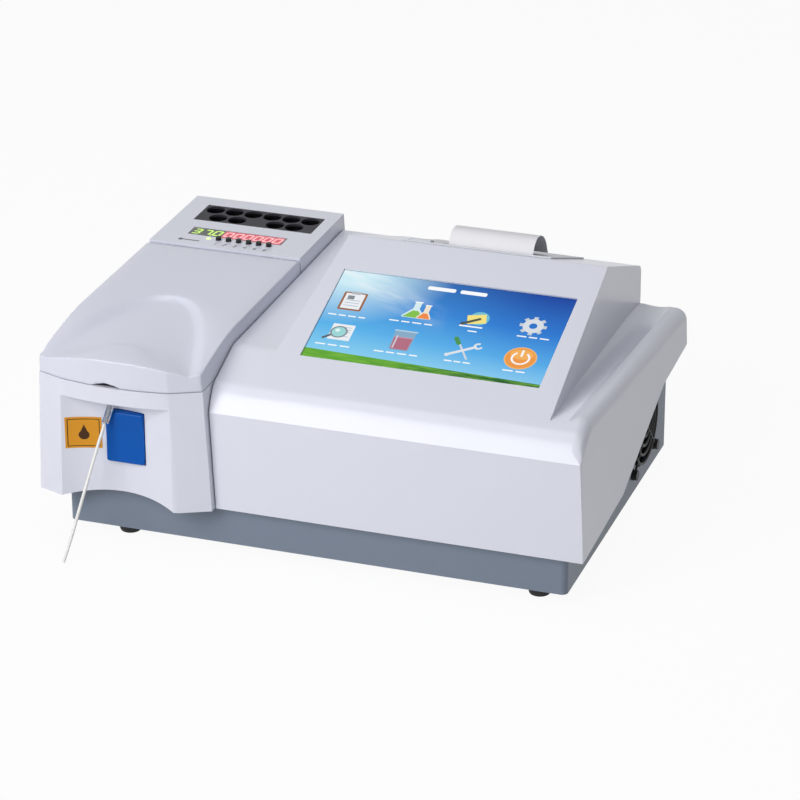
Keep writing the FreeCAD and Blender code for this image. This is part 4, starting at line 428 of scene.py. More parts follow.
# %% Sticker
FRAME_INNER, FRAME_OUTER = 0.84, 0.89
BELLY_HEIGHT, BELLY_RADIUS = -0.16, 0.30
TIP_HEIGHT, TIP_SLOPE, TIP_FOOT = 0.52, 0.42, -0.05


def sticker(name, colour, dark):
    """Printed film; x and z run from -1 to 1 over it."""
    finish = Finish(name)
    low, high = [np.array(corner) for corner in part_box("amber_sticker")]
    middle, half = (low + high) / 2, (high - low) / 2
    x, _, z = finish.axes(finish.place())
    x, z = (x - middle[0]) / half[0], (z - middle[2]) / half[2]
    rise = z - BELLY_HEIGHT
    belly = ((x * x + rise * rise) ** 0.5) < BELLY_RADIUS
    tip = (x.absolute() < (TIP_HEIGHT - z) * TIP_SLOPE) * (z > TIP_FOOT) * (z < TIP_HEIGHT)
    edge = x.absolute().larger(z.absolute())
    marked = (belly + tip + (edge > FRAME_INNER) * (edge < FRAME_OUTER)).clamped()
    worn = finish.noise(900.0, detail=3.0)
    shade = finish.mix(worn, darker(colour, 0.94), colour)
    return finish.done(Base_Color=finish.mix(marked, shade, dark), Roughness=0.42,
                       Specular_IOR_Level=0.2,
                       Normal=finish.bump(worn, 0.000006, strength=0.4))


materials["sticker_amber"] = sticker("amber_sticker", ink(222, 152, 40), ink(70, 44, 20))
print("the sticker's frame line is", round((FRAME_OUTER - FRAME_INNER) * 12, 1), "mm wide")

# %% [markdown]
# ## Every part gets its finish
# The solid model's record names a slot for each part. All faces are shaded smooth, and
# the edges between faces that differ by more than 30 degrees are marked sharp, so that
# round parts look round and flat parts keep their corners.

# %% Finishes on parts
CORNER_ANGLE = np.radians(30)


def shade_smooth(mesh):
    mesh.polygons.foreach_set("use_smooth", np.ones(len(mesh.polygons), bool))


for name, thing in nodes.items():
    thing.data.materials.clear()
    thing.data.materials.append(materials[slot_of[name]])
    shade_smooth(thing.data)
    thing.data.set_sharp_from_angle(angle=CORNER_ANGLE)
sample_tube.data.materials.append(materials["tube_white"])
print(len(materials), "finishes on", len(nodes), "parts")

# %% [markdown]
# ## The screen's own directions
# The touch screen lies 17.64 degrees up from level. Everything drawn on it is given as
# millimetres to the right of and up from its middle, and turned into place by one function.

# %% Screen directions
TILT = np.radians(17.64)
SCREEN_MIDDLE = np.array([56.11, -31.725, 137.636])
SCREEN_SIZE = np.array([154.08, 85.92])
SCREEN_UP = np.array([0.0, np.cos(TILT), np.sin(TILT)])
SCREEN_OUT = np.array([0.0, -np.sin(TILT), np.cos(TILT)])


def on_screen(across, up, out):
    """Points of the tilted screen: middle + across * x + up * slope + out * normal."""
    across, up, out = np.broadcast_arrays(across, up, out)
    point = SCREEN_MIDDLE + np.stack([across, 0 * across, 0 * across], -1)
    return (point + up[..., None] * SCREEN_UP + out[..., None] * SCREEN_OUT) * MM


print("the screen rises", round(SCREEN_SIZE[1] * np.sin(TILT), 1), "mm from front to back")

# %% [markdown]
# ## The crease in the main cover
# Above the cover's front wall runs a bright rounded band, which starts at a crease: a true
# corner of the mould, and the one edge that stays crisp. At the front right the solid
# model's corner rounding tapers off and bends the light into an S. Points near that corner
# are drawn in towards the place where the front and side walls would meet, less and less
# with their height above the crease.

# %% Sharp front corner
CREASE_Y, CREASE_Z = -117.75, 98.6
CREASE = np.array([CREASE_Y, CREASE_Z]) * MM
WALL_FOOT = 34.3
FRONT_WALL = [WALL_FOOT, CREASE_Z], [-119.25, CREASE_Y]
SIDE_WALL = [WALL_FOOT, CREASE_Z, 112.0], [176.35, 173.5, 172.9]
PROFILE_LEFT, PROFILE_RIGHT, PROFILE_BACK = 165.2, 165.6, -108
REACH_LEFT, REACH_BACK, REACH_CORE, REACH_LOW, REACH_HIGH = 8.6, 9.5, 2.6, 34.5, 107.2
KEEP_LEAST, KEEP_FROM, KEEP_RUN = 0.12, 98.2, 9.0
CORE_SLOPE = 0.035


def smooth_step(share):
    """0 below 0, 1 above 1, and 3 s^2 - 2 s^3 between them."""
    share = np.clip(share, 0, 1)
    return share * share * (3 - 2 * share)


def corner_made_sharp(welded):
    """Draws the front right corner's rounding in to a point where it meets the crease."""
    points = np.array([vertex.co for vertex in welded.verts]) / MM
    x, y, z = points.T
    band = points[(x > PROFILE_LEFT) & (x < PROFILE_RIGHT) & (y < PROFILE_BACK)
                  & (z > CREASE_Z - 0.1)]
    band = band[np.argsort(band[:, 2])]
    front = np.where(z < CREASE_Z, np.interp(z, *FRONT_WALL),
                     np.interp(z, band[:, 2], band[:, 1]))
    side = np.interp(z, *SIDE_WALL)
    keep = KEEP_LEAST + (1 - KEEP_LEAST) * smooth_step((z - KEEP_FROM) / KEEP_RUN)
    slope = np.clip(1.0 - CORE_SLOPE * (z - CREASE_Z), 0.5, 1.0)
    near = (x > side - REACH_LEFT) & (y < front + REACH_BACK) & (y > front - 1.0)
    near &= (z > REACH_LOW) & (z < REACH_HIGH)
    near &= ~((x < side - REACH_CORE) & ((y - front) * slope > REACH_CORE))
    x = np.where(near, side + (x - side) * keep, x)
    y = np.where(near, front + (y - front) * keep, y)
    for vertex, moved, place in zip(welded.verts, near, np.stack([x, y, z], -1) * MM):
        if moved:
            vertex.co = place
    print("corner points moved:", int(near.sum()))


print("the crease stands", CREASE_Z, "mm above the table")

# %% [markdown]
# ## The band above the crease
# The solid model's band is a full arc between the front wall and the screen's slope. On
# the real cover it is flatter near the crease, so its light begins with a clear line. The
# bulge of the arc over its chord is known at each point, and most of it is taken away at
# the crease and none at the slope. Points deeper in the wall move less, down to nothing.

# %% Flatter band
BAND_RUN, BAND_RISE, BAND_KEEP = 1.9, 12.3, 0.40
SKIN, OVER_SKIN = 2.6, 0.4


def band_made_flatter(welded):
    """Presses the rounded band under the screen towards the chord from crease to slope."""
    points = np.array([vertex.co for vertex in welded.verts]) / MM
    low = CREASE / MM
    corner = np.array([low[0] + BAND_RUN, low[1] + BAND_RISE])
    tangent = np.hypot(BAND_RUN, BAND_RISE)
    high = corner + tangent * np.array([np.cos(TILT), np.sin(TILT)])
    along = (high - low) / np.linalg.norm(high - low)
    outward = np.array([-along[1], along[0]])
    chord = np.linalg.norm(high - low)
    turn = np.pi - 2 * np.arcsin(chord / 2 / tangent)
    radius = chord / 2 / np.sin(turn / 2)
    offset = points[:, 1:] - low
    share, height = offset @ along / chord, offset @ outward
    bulge = np.sqrt(np.clip(radius ** 2 - ((share - 0.5) * chord) ** 2, 0, None))
    bulge = bulge - radius * np.cos(turn / 2)
    press = (1 - BAND_KEEP) * (1 - share ** 2) * bulge
    press = press * np.clip(1 - (bulge - height) / SKIN, 0, 1)
    pressed = (share > 0.001) & (share < 0.999)
    pressed &= (height > bulge - SKIN) & (height < bulge + OVER_SKIN)
    for vertex, moved, amount in zip(welded.verts, pressed, press * MM):
        if moved:
            vertex.co[1] -= outward[0] * amount
            vertex.co[2] -= outward[1] * amount
    print("band points moved:", int(pressed.sum()), "by up to", round(press[pressed].max(), 2))


print("the band keeps", BAND_KEEP, "of its bulge at the crease")

# %% [markdown]
# ## Softer edges
# Moulded covers never have knife edges. The solid model's sharp corners are welded and
# given a small rounding, which catches the light as a thin bright line. A bevel could take
# every edge, but then the crease would go soft too, so each edge carries its own weight.
# Weighted normals keep the large flat faces flat right up to the rounding. The tower's
# rim, under the lid, is lifted by 0.6 mm to close its seam and hardly rounded.

# %% Rounded copies
RIM_HEIGHT, RIM_RAISED, RIM_WEIGHT = 113.6, 0.6, 0.12
AT_RIM, AT_RAISED_RIM = 0.02, 0.05
WELD_DISTANCE = 2e-6
FLAT_ANGLE, ROUNDED_ANGLE = np.radians([0.3, 35])
CREASE_REACH = 0.4 * MM
ROUNDINGS = {"main_cover": 0.7, "tower_cover": 1.2, "chassis_tray": 0.5,
             "aspirate_button": 1.0, "button_guide": 0.5, "printer_frame": 0.5,
             "printer_door": 0.6, "release_tab": 0.4, "incubator_plate": 0.3,
             "rubber_feet": 0.6, "power_inlet": 0.4, "display_window": 0.3}


def body_of(node):
    """The body that a node rides on."""
    bodies = frame["record"]["behaviour"]["bodies"]
    return next(body for body, members in bodies.items() if node in members)


def register(piece, body, finish=None, replaced=()):
    """Links a new piece, gives it its finish if there is one, puts it on its body and hides the
    parts that it replaces.
    """
    bpy.context.scene.collection.objects.link(piece)
    if finish is not None:
        piece.data.materials.append(finish)
    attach(piece, body)
    if replaced:
        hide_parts(*replaced)
    return piece


def rounded(node, width):
    """A copy of a CAD node with its sharp edges rounded, in the node's own place."""
    mesh = nodes[node].data.copy()
    welded = bmesh.new()
    welded.from_mesh(mesh)
    bmesh.ops.remove_doubles(welded, verts=welded.verts, dist=WELD_DISTANCE)
    if node == "main_cover":
        corner_made_sharp(welded)
        band_made_flatter(welded)
    bmesh.ops.dissolve_limit(welded, angle_limit=FLAT_ANGLE, verts=welded.verts,
                             edges=welded.edges)
    if node == "tower_cover":
        for vertex in welded.verts:
            if abs(vertex.co[2] / MM - RIM_HEIGHT) < AT_RIM:
                vertex.co[2] += RIM_RAISED * MM
    weight = welded.edges.layers.float.new("bevel_weight_edge")
    for edge in welded.edges:
        heights = [end.co[2] / MM - RIM_HEIGHT - RIM_RAISED for end in edge.verts]
        at_rim = node == "tower_cover" and max(map(abs, heights)) < AT_RAISED_RIM
        sharp = edge.calc_face_angle(0) > ROUNDED_ANGLE
        edge[weight] = sharp * (RIM_WEIGHT if at_rim else 1.0)
        edge.smooth = any(np.hypot(*(np.array(end.co[1:]) - CREASE)) > CREASE_REACH
                          for end in edge.verts)
    welded.to_mesh(mesh)
    welded.free()
    piece = bpy.data.objects.new(node + "_rounded", mesh)
    bevel = piece.modifiers.new("bevel", "BEVEL")
    bevel.width, bevel.segments, bevel.limit_method = width * MM, 2, "WEIGHT"
    piece.modifiers.new("weighted", "WEIGHTED_NORMAL").keep_sharp = True
    shade_smooth(mesh)
    return register(piece, body_of(node), None, [node])


for node, width in ROUNDINGS.items():
    rounded(node, width)
print(len(ROUNDINGS), "parts with rounded edges")

# %% [markdown]
# ## The measuring lid's scoop
# The front of the lid has a hollow for the fingers that lift it. Seen from above it is a
# petal: its half width grows about as the square root of the distance from its tip. Its
# walls follow a smooth step, wider on the left, where the light shows them as a broad
# shade. The hollow fades out above the lid's lower edge, which stays where it is.

# %% The scoop
SCOOP_MIDDLE, SCOOP_TIP, SCOOP_DEEP = -121.2, -33.0, 2.5
PETAL_GROWTH, PETAL_POWER, PETAL_LEAST = 5.06, 0.51, 4.5
WALL_LEFT, WALL_RIGHT = 11.0, 9.0
FADE_FROM, FADE_RUN = -27.0, 12.0
HEM_HEIGHT, HEM_RUN = 117.5, 5.0


def scoop_depth(x, y, z):
    """How far a point of the lid sinks, in millimetres."""
    half = PETAL_GROWTH * np.clip(SCOOP_TIP - y, 0, None) ** PETAL_POWER + PETAL_LEAST
    wall = np.where(x > SCOOP_MIDDLE, WALL_RIGHT, WALL_LEFT)
    depth = SCOOP_DEEP * smooth_step((half - np.abs(x - SCOOP_MIDDLE)) / wall)
    depth = depth * smooth_step((FADE_FROM - y) / FADE_RUN)
    return depth * smooth_step((z - HEM_HEIGHT) / HEM_RUN)


print("the scoop is", SCOOP_DEEP, "mm deep in its middle")

# %% [markdown]
# ## The softened lid
# The scoop has no edges at all: it melts into the hood. A bevel can't do that, since it
# only cuts corners. So the lid is cut anew into even cells of a millimetre, and then each
# point of its upper face drifts towards the mean of its neighbours again and again, as
# sanding smooths clay. The other faces get two passes, enough to hide the cells.

# %% Softened lid
LID_CELL = 0.85
ALL_PASSES, ALL_PULL = 2, 0.5
TOP_PASSES, TOP_PULL, TOP_FACING = 90, 0.8, 0.72


def even_cells(node, cell):
    """A copy of a node's mesh, rebuilt from even cells."""
    draft = bpy.data.objects.new("draft", nodes[node].data.copy())
    bpy.context.scene.collection.objects.link(draft)
    draft.modifiers.new("weld", "WELD").merge_threshold = WELD_DISTANCE
    cells = draft.modifiers.new("cells", "REMESH")
    cells.mode, cells.voxel_size = "VOXEL", cell * MM
    bpy.context.view_layer.update()
    mesh = bpy.data.meshes.new_from_object(
        draft.evaluated_get(bpy.context.evaluated_depsgraph_get()))
    bpy.data.objects.remove(draft)
    return mesh


def softened(node, cell):
    """Even cells, then Laplace smoothing: light passes all over, heavy on upper faces."""
    mesh = even_cells(node, cell)
    count = len(mesh.vertices)
    points, ends = np.zeros(count * 3), np.zeros(len(mesh.edges) * 2, int)
    mesh.vertices.foreach_get("co", points)
    mesh.edges.foreach_get("vertices", ends)
    points, ends = points.reshape(-1, 3), ends.reshape(-1, 2)
    facing = np.array([vertex.normal[2] for vertex in mesh.vertices])
    both = np.concatenate([ends, ends[:, ::-1]])
    both = both[np.argsort(both[:, 0], kind="stable")]
    starts = np.searchsorted(both[:, 0], np.arange(count))
    neighbours = np.bincount(both[:, 0], minlength=count)[:, None]
    upper = (facing > TOP_FACING)[:, None]
    for passes, pull in ((ALL_PASSES, ALL_PULL), (TOP_PASSES, TOP_PULL * upper)):
        for _ in range(passes):
            mean = np.add.reduceat(points[both[:, 1]], starts) / neighbours
            points = points + pull * (mean - points)
    points[:, 2] -= scoop_depth(*(points.T / MM)) * MM
    mesh.vertices.foreach_set("co", points.ravel())
    shade_smooth(mesh)
    mesh.update()
    mesh.materials.clear()
    piece = bpy.data.objects.new(node + "_soft", mesh)
    return register(piece, body_of(node), materials[slot_of[node]], [node])


soft_lid = softened("measuring_lid", LID_CELL)
print("the lid has", len(soft_lid.data.polygons), "faces")

# %% [markdown]
# ## What the screen shows
# The picture on the screen is a landscape sky over a strip of grass. It could be painted
# and mapped as an image, but a formula stays sharp at any size: across and up run from 0
# to 1 over the lit area, the sky deepens to the upper right, a pale cloud spreads from the
# upper left, and the horizon falls a little to the right.

# %% The sky and the grass
GLASS_TOP = -1.1
SKY = [(0.08, ink(150, 216, 247)), (0.34, ink(84, 174, 238)), (0.62, ink(34, 122, 214)),
       (0.98, ink(0, 64, 160))]
SUN_ACROSS, SUN_UP = (0.02, 0.46), (1.0, 0.60)
HORIZON, HORIZON_FALL = 0.106, 0.062
SCREEN_GLOW = 0.92


def screen_finish():
    """Sky above the horizon and grass below it."""
    finish = Finish("screen_picture")
    across, up, _ = finish.axes(finish.place("UV"))
    sky = finish.ramp(up * 0.86 + 0.13 * across, SKY)
    pale = ((1.0 - across) * 0.6 - 0.1).clamped()
    sky = finish.mix(pale * 0.6, sky, ink(96, 200, 242))
    sun_x, sun_y = (across - SUN_ACROSS[0]) / SUN_ACROSS[1], (up - SUN_UP[0]) / SUN_UP[1]
    glow = (1.0 - (sun_x * sun_x + sun_y * sun_y) ** 0.5).clamped()
    sky = finish.mix((glow * 1.3).clamped(), sky, ink(206, 242, 253))
    turned = finish.node("VectorRotate", {"rotation_type": "Z_AXIS"},
                         {"Vector": finish.place("UV"), "Angle": 0.62})
    streak = finish.noise(3.4, detail=5.0, roughness=0.55, stretch=(1.1, 3.2, 1.0),
                          vector=turned)
    band = (1.0 - (across * 0.9 + up - 1.02).absolute() * 5.5).clamped()
    fade = (1.0 - across * 1.9).clamped()
    cloud = (band * (streak - 0.36).clamped() * 3.8 * fade).clamped()
    sky = finish.mix(cloud, sky, ink(240, 250, 255))
    shade = ((across - 0.30) * 2.2 + (0.05 - up) * 6.0).clamped()
    meadow = finish.mix(shade, ink(92, 166, 44), ink(26, 96, 34))
    blades = finish.noise(9.0, detail=4.0, roughness=0.6, stretch=(1.0, 5.0, 1.0),
                          vector=finish.place("UV"))
    meadow = finish.mix(((blades - 0.42) * 2.6).clamped(), meadow, ink(138, 200, 66))
    picture = finish.mix(up < HORIZON - HORIZON_FALL * across, sky, meadow)
    return finish.done(Base_Color=ink(6, 8, 12), Roughness=0.12, Emission_Color=picture,
                       Emission_Strength=SCREEN_GLOW, Specular_IOR_Level=0.12)


def grid_mesh(name, points):
    """A mesh from an array of points (rows, columns, 3), in metres."""
    rows, columns = points.shape[:2]
    start = np.arange(rows - 1)[:, None] * columns + np.arange(columns - 1)
    corners = np.stack([start, start + 1, start + columns + 1, start + columns], -1)
    mesh = bpy.data.meshes.new(name)
    mesh.from_pydata(points.reshape(-1, 3), [], corners.reshape(-1, 4))
    shade_smooth(mesh)
    return bpy.data.objects.new(name, mesh)


across, up = np.meshgrid(np.linspace(-0.5, 0.5, 9), np.linspace(-0.5, 0.5, 6))
picture = grid_mesh("screen_picture", on_screen(across * SCREEN_SIZE[0], up * SCREEN_SIZE[1],
                                                GLASS_TOP + 0.05))
uv = picture.data.uv_layers.new(name="UVMap")
index = np.zeros(len(picture.data.loops), int)
picture.data.loops.foreach_get("vertex_index", index)
uv.data.foreach_set("uv", np.stack([across.ravel() + 0.5, up.ravel() + 0.5], -1)[index].ravel())
register(picture, "housing", screen_finish())
print("the screen picture is", SCREEN_SIZE, "mm")

# %% [markdown]
# ## Flat shapes
# Icons, digits and small printed marks are all made of flat shapes. A shape is an outline
# in millimetres with a colour. Text objects and boolean cuts would work too, but plain
# polygons are fewer and never fail. A sheet gathers many shapes into one mesh, each with
# its own small height, so that later shapes lie over earlier ones.


# %% Outlines
def disc(x, y, radius, steps=28, squash=1.0):
    """x + r cos t, y + r sin t: a circle, or an ellipse where squash isn't 1."""
    turn = np.linspace(0, 2 * np.pi, steps, endpoint=False)
    return np.stack([x + radius * np.cos(turn), y + squash * radius * np.sin(turn)], -1)


def bar(x, y, width, height, angle=0.0, corner=0.0):
    """A rectangle about (x, y), turned by an angle in degrees, with rounded corners."""
    half = np.array([width / 2 - corner, height / 2 - corner])
    quarter = np.linspace(0, np.pi / 2, 5 if corner else 1)
    points = []
    for number, sign in enumerate(((1, 1), (-1, 1), (-1, -1), (1, -1))):
        turn = quarter + number * np.pi / 2
        points.append(half * sign + corner * np.stack([np.cos(turn), np.sin(turn)], -1))
    c, s = np.cos(np.radians(angle)), np.sin(np.radians(angle))
    return np.vstack(points) @ np.array([[c, s], [-s, c]]) + [x, y]


def ring(x, y, radius, width, start=0, end=360, steps=28):
    """A ring or an arc of one, as a strip of four-cornered outlines."""
    turn = np.radians(np.linspace(start, end, steps + 1))
    unit = np.stack([np.cos(turn), np.sin(turn)], -1)
    inner, outer = unit * (radius - width) + [x, y], unit * radius + [x, y]
    return [np.array([inner[i], outer[i], outer[i + 1], inner[i + 1]]) for i in range(steps)]


print("a round corner of a bar takes", len(bar(0, 0, 4, 2, corner=0.5)) // 4, "points")

# %% [markdown]
# ## Sheets of shapes
# Each shape's colour is stored on its face corners, as a colour attribute that the
# material reads by name. One material then serves all the icons, and the digits and the
# key marks in the same way.


# %% Sheets
def sheet_of(name, shapes, into_place, finish, body, step=0.004):
    """One mesh of many flat shapes. into_place turns (across, up, layer) into metres."""
    points, faces, colours = [], [], []
    for layer, (outline, colour) in enumerate(shapes):
        for part in (outline if isinstance(outline, list) else [outline]):
            part = np.asarray(part, float)
            start = sum(len(group) for group in points)
            points.append(into_place(part[:, 0], part[:, 1], np.full(len(part), layer * step)))
            faces.append(list(range(start, start + len(part))))
            colours.append(colour)
    mesh = bpy.data.meshes.new(name)
    mesh.from_pydata(np.vstack(points).tolist(), [], faces)
    tint = mesh.color_attributes.new("tint", "FLOAT_COLOR", "CORNER")
    counts = [len(face) for face in faces]
    tint.data.foreach_set("color", np.repeat(np.array(colours), counts, axis=0).ravel())
    print(name, "has", len(shapes), "shapes")
    return register(bpy.data.objects.new(name, mesh), body, finish)


def tinted(name, glow=0.0, roughness=0.4):
    """A finish that takes its colour from the sheet's own colours."""
    finish = Finish(name)
    tint = finish.node("Attribute", {"attribute_name": "tint"})
    if glow:
        return finish.done(Base_Color=ink(6, 8, 12), Emission_Color=tint,
                           Emission_Strength=glow, Roughness=roughness)
    return finish.done(Base_Color=tint, Roughness=roughness)


WHITE, PAGE, SHADE = ink(250, 252, 255), ink(236, 240, 244), ink(150, 170, 190)
icons = []


def icon(outline, colour):
    icons.append((outline, colour))


def label(x, y, width):
    """A few dashes in a row stand for the words of a label."""
    count = max(1, round(width / 7))
    for number, share in enumerate(np.resize([1.0, 0.62, 0.84, 0.5], count)):
        middle = x - width / 2 + (number + 0.5) * width / count
        icon(bar(middle, y, width / count * (0.55 + 0.32 * share), 1.1, 0, 0.5), WHITE)


# %% [markdown]
# ## The upper row of icons
# From the left: a clipboard for the programs, two flasks, a note with a pencil, and a cog.
# They could be one drawing each, but a handful of bars, discs and outlines is enough at
# the size of a fingertip.

# %% Clipboard, flasks, note and cog
# Clipboard
icon(bar(-62, 14.0, 15.5, 17.5, 0, 1.2), ink(150, 84, 30))
icon(bar(-62, 14.2, 12.6, 14.8), PAGE)
icon(bar(-62, 22.2, 6.5, 2.8, 0, 1.0), ink(176, 182, 188))
icon(bar(-64.2, 17.6, 4.4, 3.6), ink(120, 128, 136))
for line_up in (15.0, 12.4, 9.8):
    icon(bar(-62, line_up, 9.6, 0.5), SHADE)
label(-61, -0.1, 26)
# Two flasks
icon(np.array([[-27, 6], [-12.5, 6], [-12, 7.2], [-17.8, 15], [-17.8, 21], [-22, 21],
               [-22, 15], [-27.4, 7.2]]), ink(214, 236, 240))
icon(np.array([[-26.6, 6.4], [-13.0, 6.4], [-18.0, 13], [-21.6, 13]]), ink(120, 190, 40))
icon(np.array([[-17.4, 6.2], [-8.6, 6.2], [-8.2, 7.2], [-11.2, 13], [-11.2, 19], [-14.6, 19],
               [-14.6, 13], [-17.8, 7.2]]), ink(240, 226, 206))
icon(np.array([[-17.2, 6.5], [-8.8, 6.5], [-11.6, 11.6], [-14.3, 11.6]]), ink(240, 128, 30))
icon(bar(-19.9, 21.3, 5.4, 1.0, 0, 0.4), WHITE)
icon(bar(-12.9, 19.3, 4.4, 0.9, 0, 0.4), WHITE)
label(-19.2, 1.6, 30)
# Note and pencil
icon(disc(22.0, 13.4, 6.4), ink(96, 186, 210))
icon(bar(20.6, 12.4, 12.0, 8.6, 14), ink(246, 226, 120))
icon(bar(17.6, 10.0, 13.0, 2.2, 32, 0.4), ink(60, 66, 40))
icon(np.array([[10.6, 5.0], [13.3, 7.8], [12.2, 8.9]]), ink(30, 32, 34))
icon(bar(18.8, 5.0, 15.0, 1.3), WHITE)
label(21.0, 0.8, 7)
# Cog
icon([bar(57 + 7.0 * np.cos(a), 13 + 7.0 * np.sin(a), 3.4, 2.8, np.degrees(a))
      for a in np.arange(8) * np.pi / 4], ink(196, 204, 212))
icon(ring(57, 13, 6.6, 4.0), ink(216, 222, 228))
label(60.0, 2.3, 22)
print("upper row:", len(icons), "shapes")

# %% [markdown]
# ## The lower row of icons
# From the left: a page under a lens, a beaker, a screwdriver with a wrench, and the power
# button. Two bars above both rows stand for the menu's heading. The finished sheet glows
# as much as the sky behind it.

# %% Page, beaker, tools and power button
# Page under a lens
icon(bar(-59.4, -16.0, 14.5, 15.0), PAGE)
for line_up in (-11.2, -13.4, -15.6, -19.8):
    icon(bar(-58.6, line_up, 9.6, 0.5), SHADE)
icon(bar(-67.0, -21.0, 7.6, 1.8, 40, 0.6), ink(70, 76, 84))
icon(disc(-61.0, -16.0, 4.9), ink(150, 214, 214))
icon(ring(-61.0, -16.0, 5.6, 1.1), ink(120, 130, 140))
icon(disc(-62.2, -14.6, 1.5), ink(226, 246, 246))
label(-61.0, -28.8, 24)
# Beaker
icon(np.array([[-25.0, -25.5], [-13.2, -25.5], [-12.6, -24.4], [-12.2, -7.4], [-26.0, -7.4],
               [-25.6, -24.4]]), ink(126, 166, 196))
icon(bar(-19.1, -7.3, 15.4, 1.2, 0, 0.5), ink(176, 206, 224))
icon(np.array([[-24.6, -24.9], [-13.6, -24.9], [-13.0, -13.6], [-25.2, -13.6]]),
     ink(176, 96, 120))
icon(bar(-19.1, -13.6, 12.2, 0.8, 0, 0.4), ink(206, 140, 156))
icon(bar(-23.4, -18.0, 0.9, 12.0, 0, 0.4), ink(204, 214, 226))
label(-19.4, -28.6, 30)
# Screwdriver and wrench
icon(bar(21.0, -18.6, 1.3, 17.0, 32, 0.5), ink(206, 214, 220))
icon(bar(14.9, -9.6, 3.0, 8.0, 32, 1.2), ink(44, 140, 52))
icon(bar(20.4, -18.0, 2.2, 19.0, -58, 0.9), ink(222, 228, 234))
icon(ring(29.2, -12.4, 3.0, 1.5, 70, 350), ink(222, 228, 234))
icon(disc(11.9, -23.4, 1.5), ink(222, 228, 234))
label(20.4, -28.8, 18)
# Power button
icon(disc(58.0, -18.0, 10.3, 40), ink(244, 178, 84))
icon(disc(58.0, -18.0, 9.4, 40), ink(238, 146, 34))
icon(disc(58.0, -14.6, 7.4, 40, 0.62), ink(246, 172, 72))
icon(ring(58.0, -18.0, 6.1, 1.3, 125, 415, 36), WHITE)
icon(bar(58.0, -13.4, 1.4, 6.2, 0, 0.6), WHITE)
label(57.4, -30.4, 16)
# The heading
icon(bar(-9.6, 36.0, 18.5, 3.4, 0, 1.2), WHITE)
icon(bar(11.4, 36.0, 17.5, 3.4, 0, 1.2), WHITE)
sheet_of("screen_icons", icons, lambda x, y, layer: on_screen(x, y, GLASS_TOP + 0.08 + layer),
         tinted("screen_icon_colours", SCREEN_GLOW, 0.12), "housing", 0.003)

# %% [markdown]
# ## The display and its keys
# Behind the smoked window stand nine seven-segment digits: three green ones for the
# temperature and six red ones for the timer. A segment is a bar, and a digit is the list
# of its lit bars in the usual order a to g. The lit strips behind them are plain bars.

# %% Digits
SEGMENTS = {"0": "abcdef", "1": "bc", "2": "abdeg", "3": "abcdg", "4": "bcfg", "5": "acdfg",
            "6": "acdefg", "7": "abc"}
LEAN, WIDTH_SHARE, BAR_SHARE = 0.14, 0.30, 0.92
DIGIT_HEIGHT, DIGIT_STROKE = 7.4, 1.5
GREEN_START, GREEN_PITCH = -149.0, 7.3
RED_START, RED_PITCH = -126.4, 6.9
STRIP_HEIGHT = 11.6
GREEN_LIT, RED_LIT = ink(196, 242, 96), ink(255, 176, 180)


def digit(mark, x, y, height, stroke):
    """Outlines of a seven-segment digit about (x, y)."""
    wide, half = height * WIDTH_SHARE, height / 2
    spots = {"a": (0, half, 0), "b": (wide, half / 2, 90), "c": (wide, -half / 2, 90),
             "d": (0, -half, 0), "e": (-wide, -half / 2, 90), "f": (-wide, half / 2, 90),
             "g": (0, 0, 0)}
    outlines = []
    for name in SEGMENTS[mark]:
        dx, dy, angle = spots[name]
        outline = bar(dx, dy, (2 * wide if angle == 0 else half) * BAR_SHARE, stroke, angle)
        outline[:, 0] += outline[:, 1] * LEAN
        outlines.append(outline + [x, y])
    return outlines


def on_level(height):
    """A function that lays shapes flat at a height in millimetres."""
    return lambda x, y, layer: np.stack([x, y, height + layer], -1) * MM


window_low, window_high = [np.array(corner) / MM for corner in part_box("display_window")]
window_mid = (window_low[1] + window_high[1]) / 2
lights = [(bar(-141.6, window_mid, 21.4, STRIP_HEIGHT), ink(34, 46, 26)),
          (bar(-109.4, window_mid, 41.8, STRIP_HEIGHT), ink(196, 40, 66))]
for number, mark in enumerate("370"):
    lights.append((digit(mark, GREEN_START + GREEN_PITCH * number, window_mid, DIGIT_HEIGHT,
                         DIGIT_STROKE), GREEN_LIT))
lights.append((disc(-138.2, window_mid - 4.0, 0.8), GREEN_LIT))
for number, mark in enumerate("000000"):
    lights.append((digit(mark, RED_START + RED_PITCH * number, window_mid, DIGIT_HEIGHT,
                         DIGIT_STROKE), RED_LIT))
sheet_of("display_digits", lights, on_level(window_high[2] + 0.04),
         tinted("digit_light", 1.0, 0.2), "housing", 0.004)

# %% [markdown]
# ## Marks beside the keys
# Each timer key has its number printed on the cover in front of it, and the status lamp
# has a short word. The numbers are the same segment digits in thin grey strokes, and a
# small disc and a bar stand for the word.

# %% Key marks
TOWER_TOP = 135.5
MARK_Y, MARK_HEIGHT, MARK_STROKE = 57.0, 2.9, 0.6
PRINT = ink(70, 74, 84)
marks = []
for number in range(1, 7):
    low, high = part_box(f"timer_key_{number}")
    middle = (low[0] + high[0]) / 2 / MM
    marks.append((digit(str(number), middle, MARK_Y, MARK_HEIGHT, MARK_STROKE), PRINT))
marks.append((bar(-147.2, 58.6, 12.5, 1.3, 0, 0.6), PRINT))
marks.append((disc(-154.2, 58.6, 1.7), PRINT))
sheet_of("key_marks", marks, on_level(TOWER_TOP + 0.03), tinted("printed_marks"), "housing",
         0.002)

# %% [markdown]
# ## Floor and world
# The photo's ground is pure white, but a floor lit up to white would throw too much light
# on the plastic from below. So the floor and the world are white only for rays that come
# from the camera, straight or by way of a shiny or clear surface, and give a lesser light
# to everything else. A trace of the floor's own shading stays, for the contact shadow.


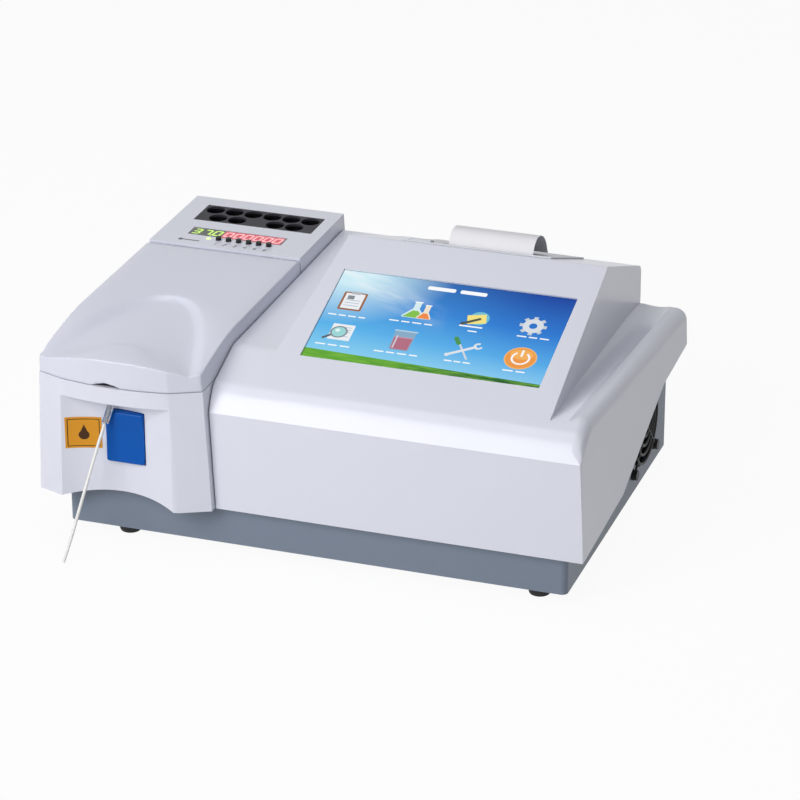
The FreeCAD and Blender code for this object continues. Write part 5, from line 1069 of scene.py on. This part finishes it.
# %% Floor and world
def white_for_camera(tree, shader, share):
    """Mixes a shader with plain white for rays that come from the camera."""
    path = tree.nodes.new("ShaderNodeLightPath")
    glow = tree.nodes.new("ShaderNodeEmission")
    rays = [Wire(tree, path.outputs[f"Is {kind} Ray"])
            for kind in ("Camera", "Glossy", "Transmission")]
    mixer = tree.nodes.new("ShaderNodeMixShader")
    feed(tree, mixer.inputs[0], (rays[0] + rays[1] + rays[2]).clamped() * share)
    tree.links.new(shader, mixer.inputs[1])
    tree.links.new(glow.outputs[0], mixer.inputs[2])
    return mixer.outputs[0]


FLOOR_SHARE, FLOOR_SPAN = 0.94, [-4.0, 4.0]
FLOOR_GREY = (0.78, 0.78, 0.78, 1)
SKY_COLOUR, SKY_STRENGTH = (0.90, 0.93, 1.0, 1), 0.24
floor = grid_mesh("floor", np.stack(np.meshgrid(FLOOR_SPAN, FLOOR_SPAN, [0.0],
                                                indexing="ij"), -1).reshape(2, 2, 3))
floor_finish = Finish("floor_white")
diffuse = floor_finish.node("BsdfDiffuse", inputs={"Color": FLOOR_GREY})
floor.data.materials.append(floor_finish.surface(
    white_for_camera(floor_finish.tree, diffuse.socket, FLOOR_SHARE)))
bpy.context.scene.collection.objects.link(floor)

world = bpy.data.worlds.new("studio")
bpy.context.scene.world = world
world.use_nodes = True
background = world.node_tree.nodes["Background"]
background.inputs["Color"].default_value = SKY_COLOUR
background.inputs["Strength"].default_value = SKY_STRENGTH
world.node_tree.links.new(white_for_camera(world.node_tree, background.outputs[0], 1.0),
                          world.node_tree.nodes["World Output"].inputs["Surface"])
print("floor share of white:", FLOOR_SHARE, "and sky strength:", SKY_STRENGTH)

# %% [markdown]
# ## Lamps
# The main lamp is a large panel in front and above, a little to the left, so that the
# right-hand sides fall into shade. A second panel overhead fills the tops of the covers
# and draws the bright line along the band. Large panels give soft shadows, as in a
# product studio, where a small lamp would draw hard ones.

# %% Lamps
AIM = np.array([0, 0, 0.08])


def lamp(name, azimuth, elevation, distance, size, power):
    """A square soft panel that faces the object from the given direction."""
    away = direction(azimuth, elevation)
    light = bpy.data.lights.new(name, "AREA")
    light.size, light.energy = size, power
    thing = bpy.data.objects.new(name, light)
    side = np.cross([0, 0, 1], away)
    side /= np.linalg.norm(side)
    thing.matrix_world = placement(side, np.cross(away, side), away, away * distance + AIM)
    bpy.context.scene.collection.objects.link(thing)
    print(name, "gives", power, "watts from", distance, "metres")


lamp("front_panel", -23, 31, distance=1.9, size=1.1, power=23.0)
lamp("top_panel", -10, 84, distance=1.7, size=1.2, power=7.0)
bpy.context.scene.view_settings.view_transform = "Standard"
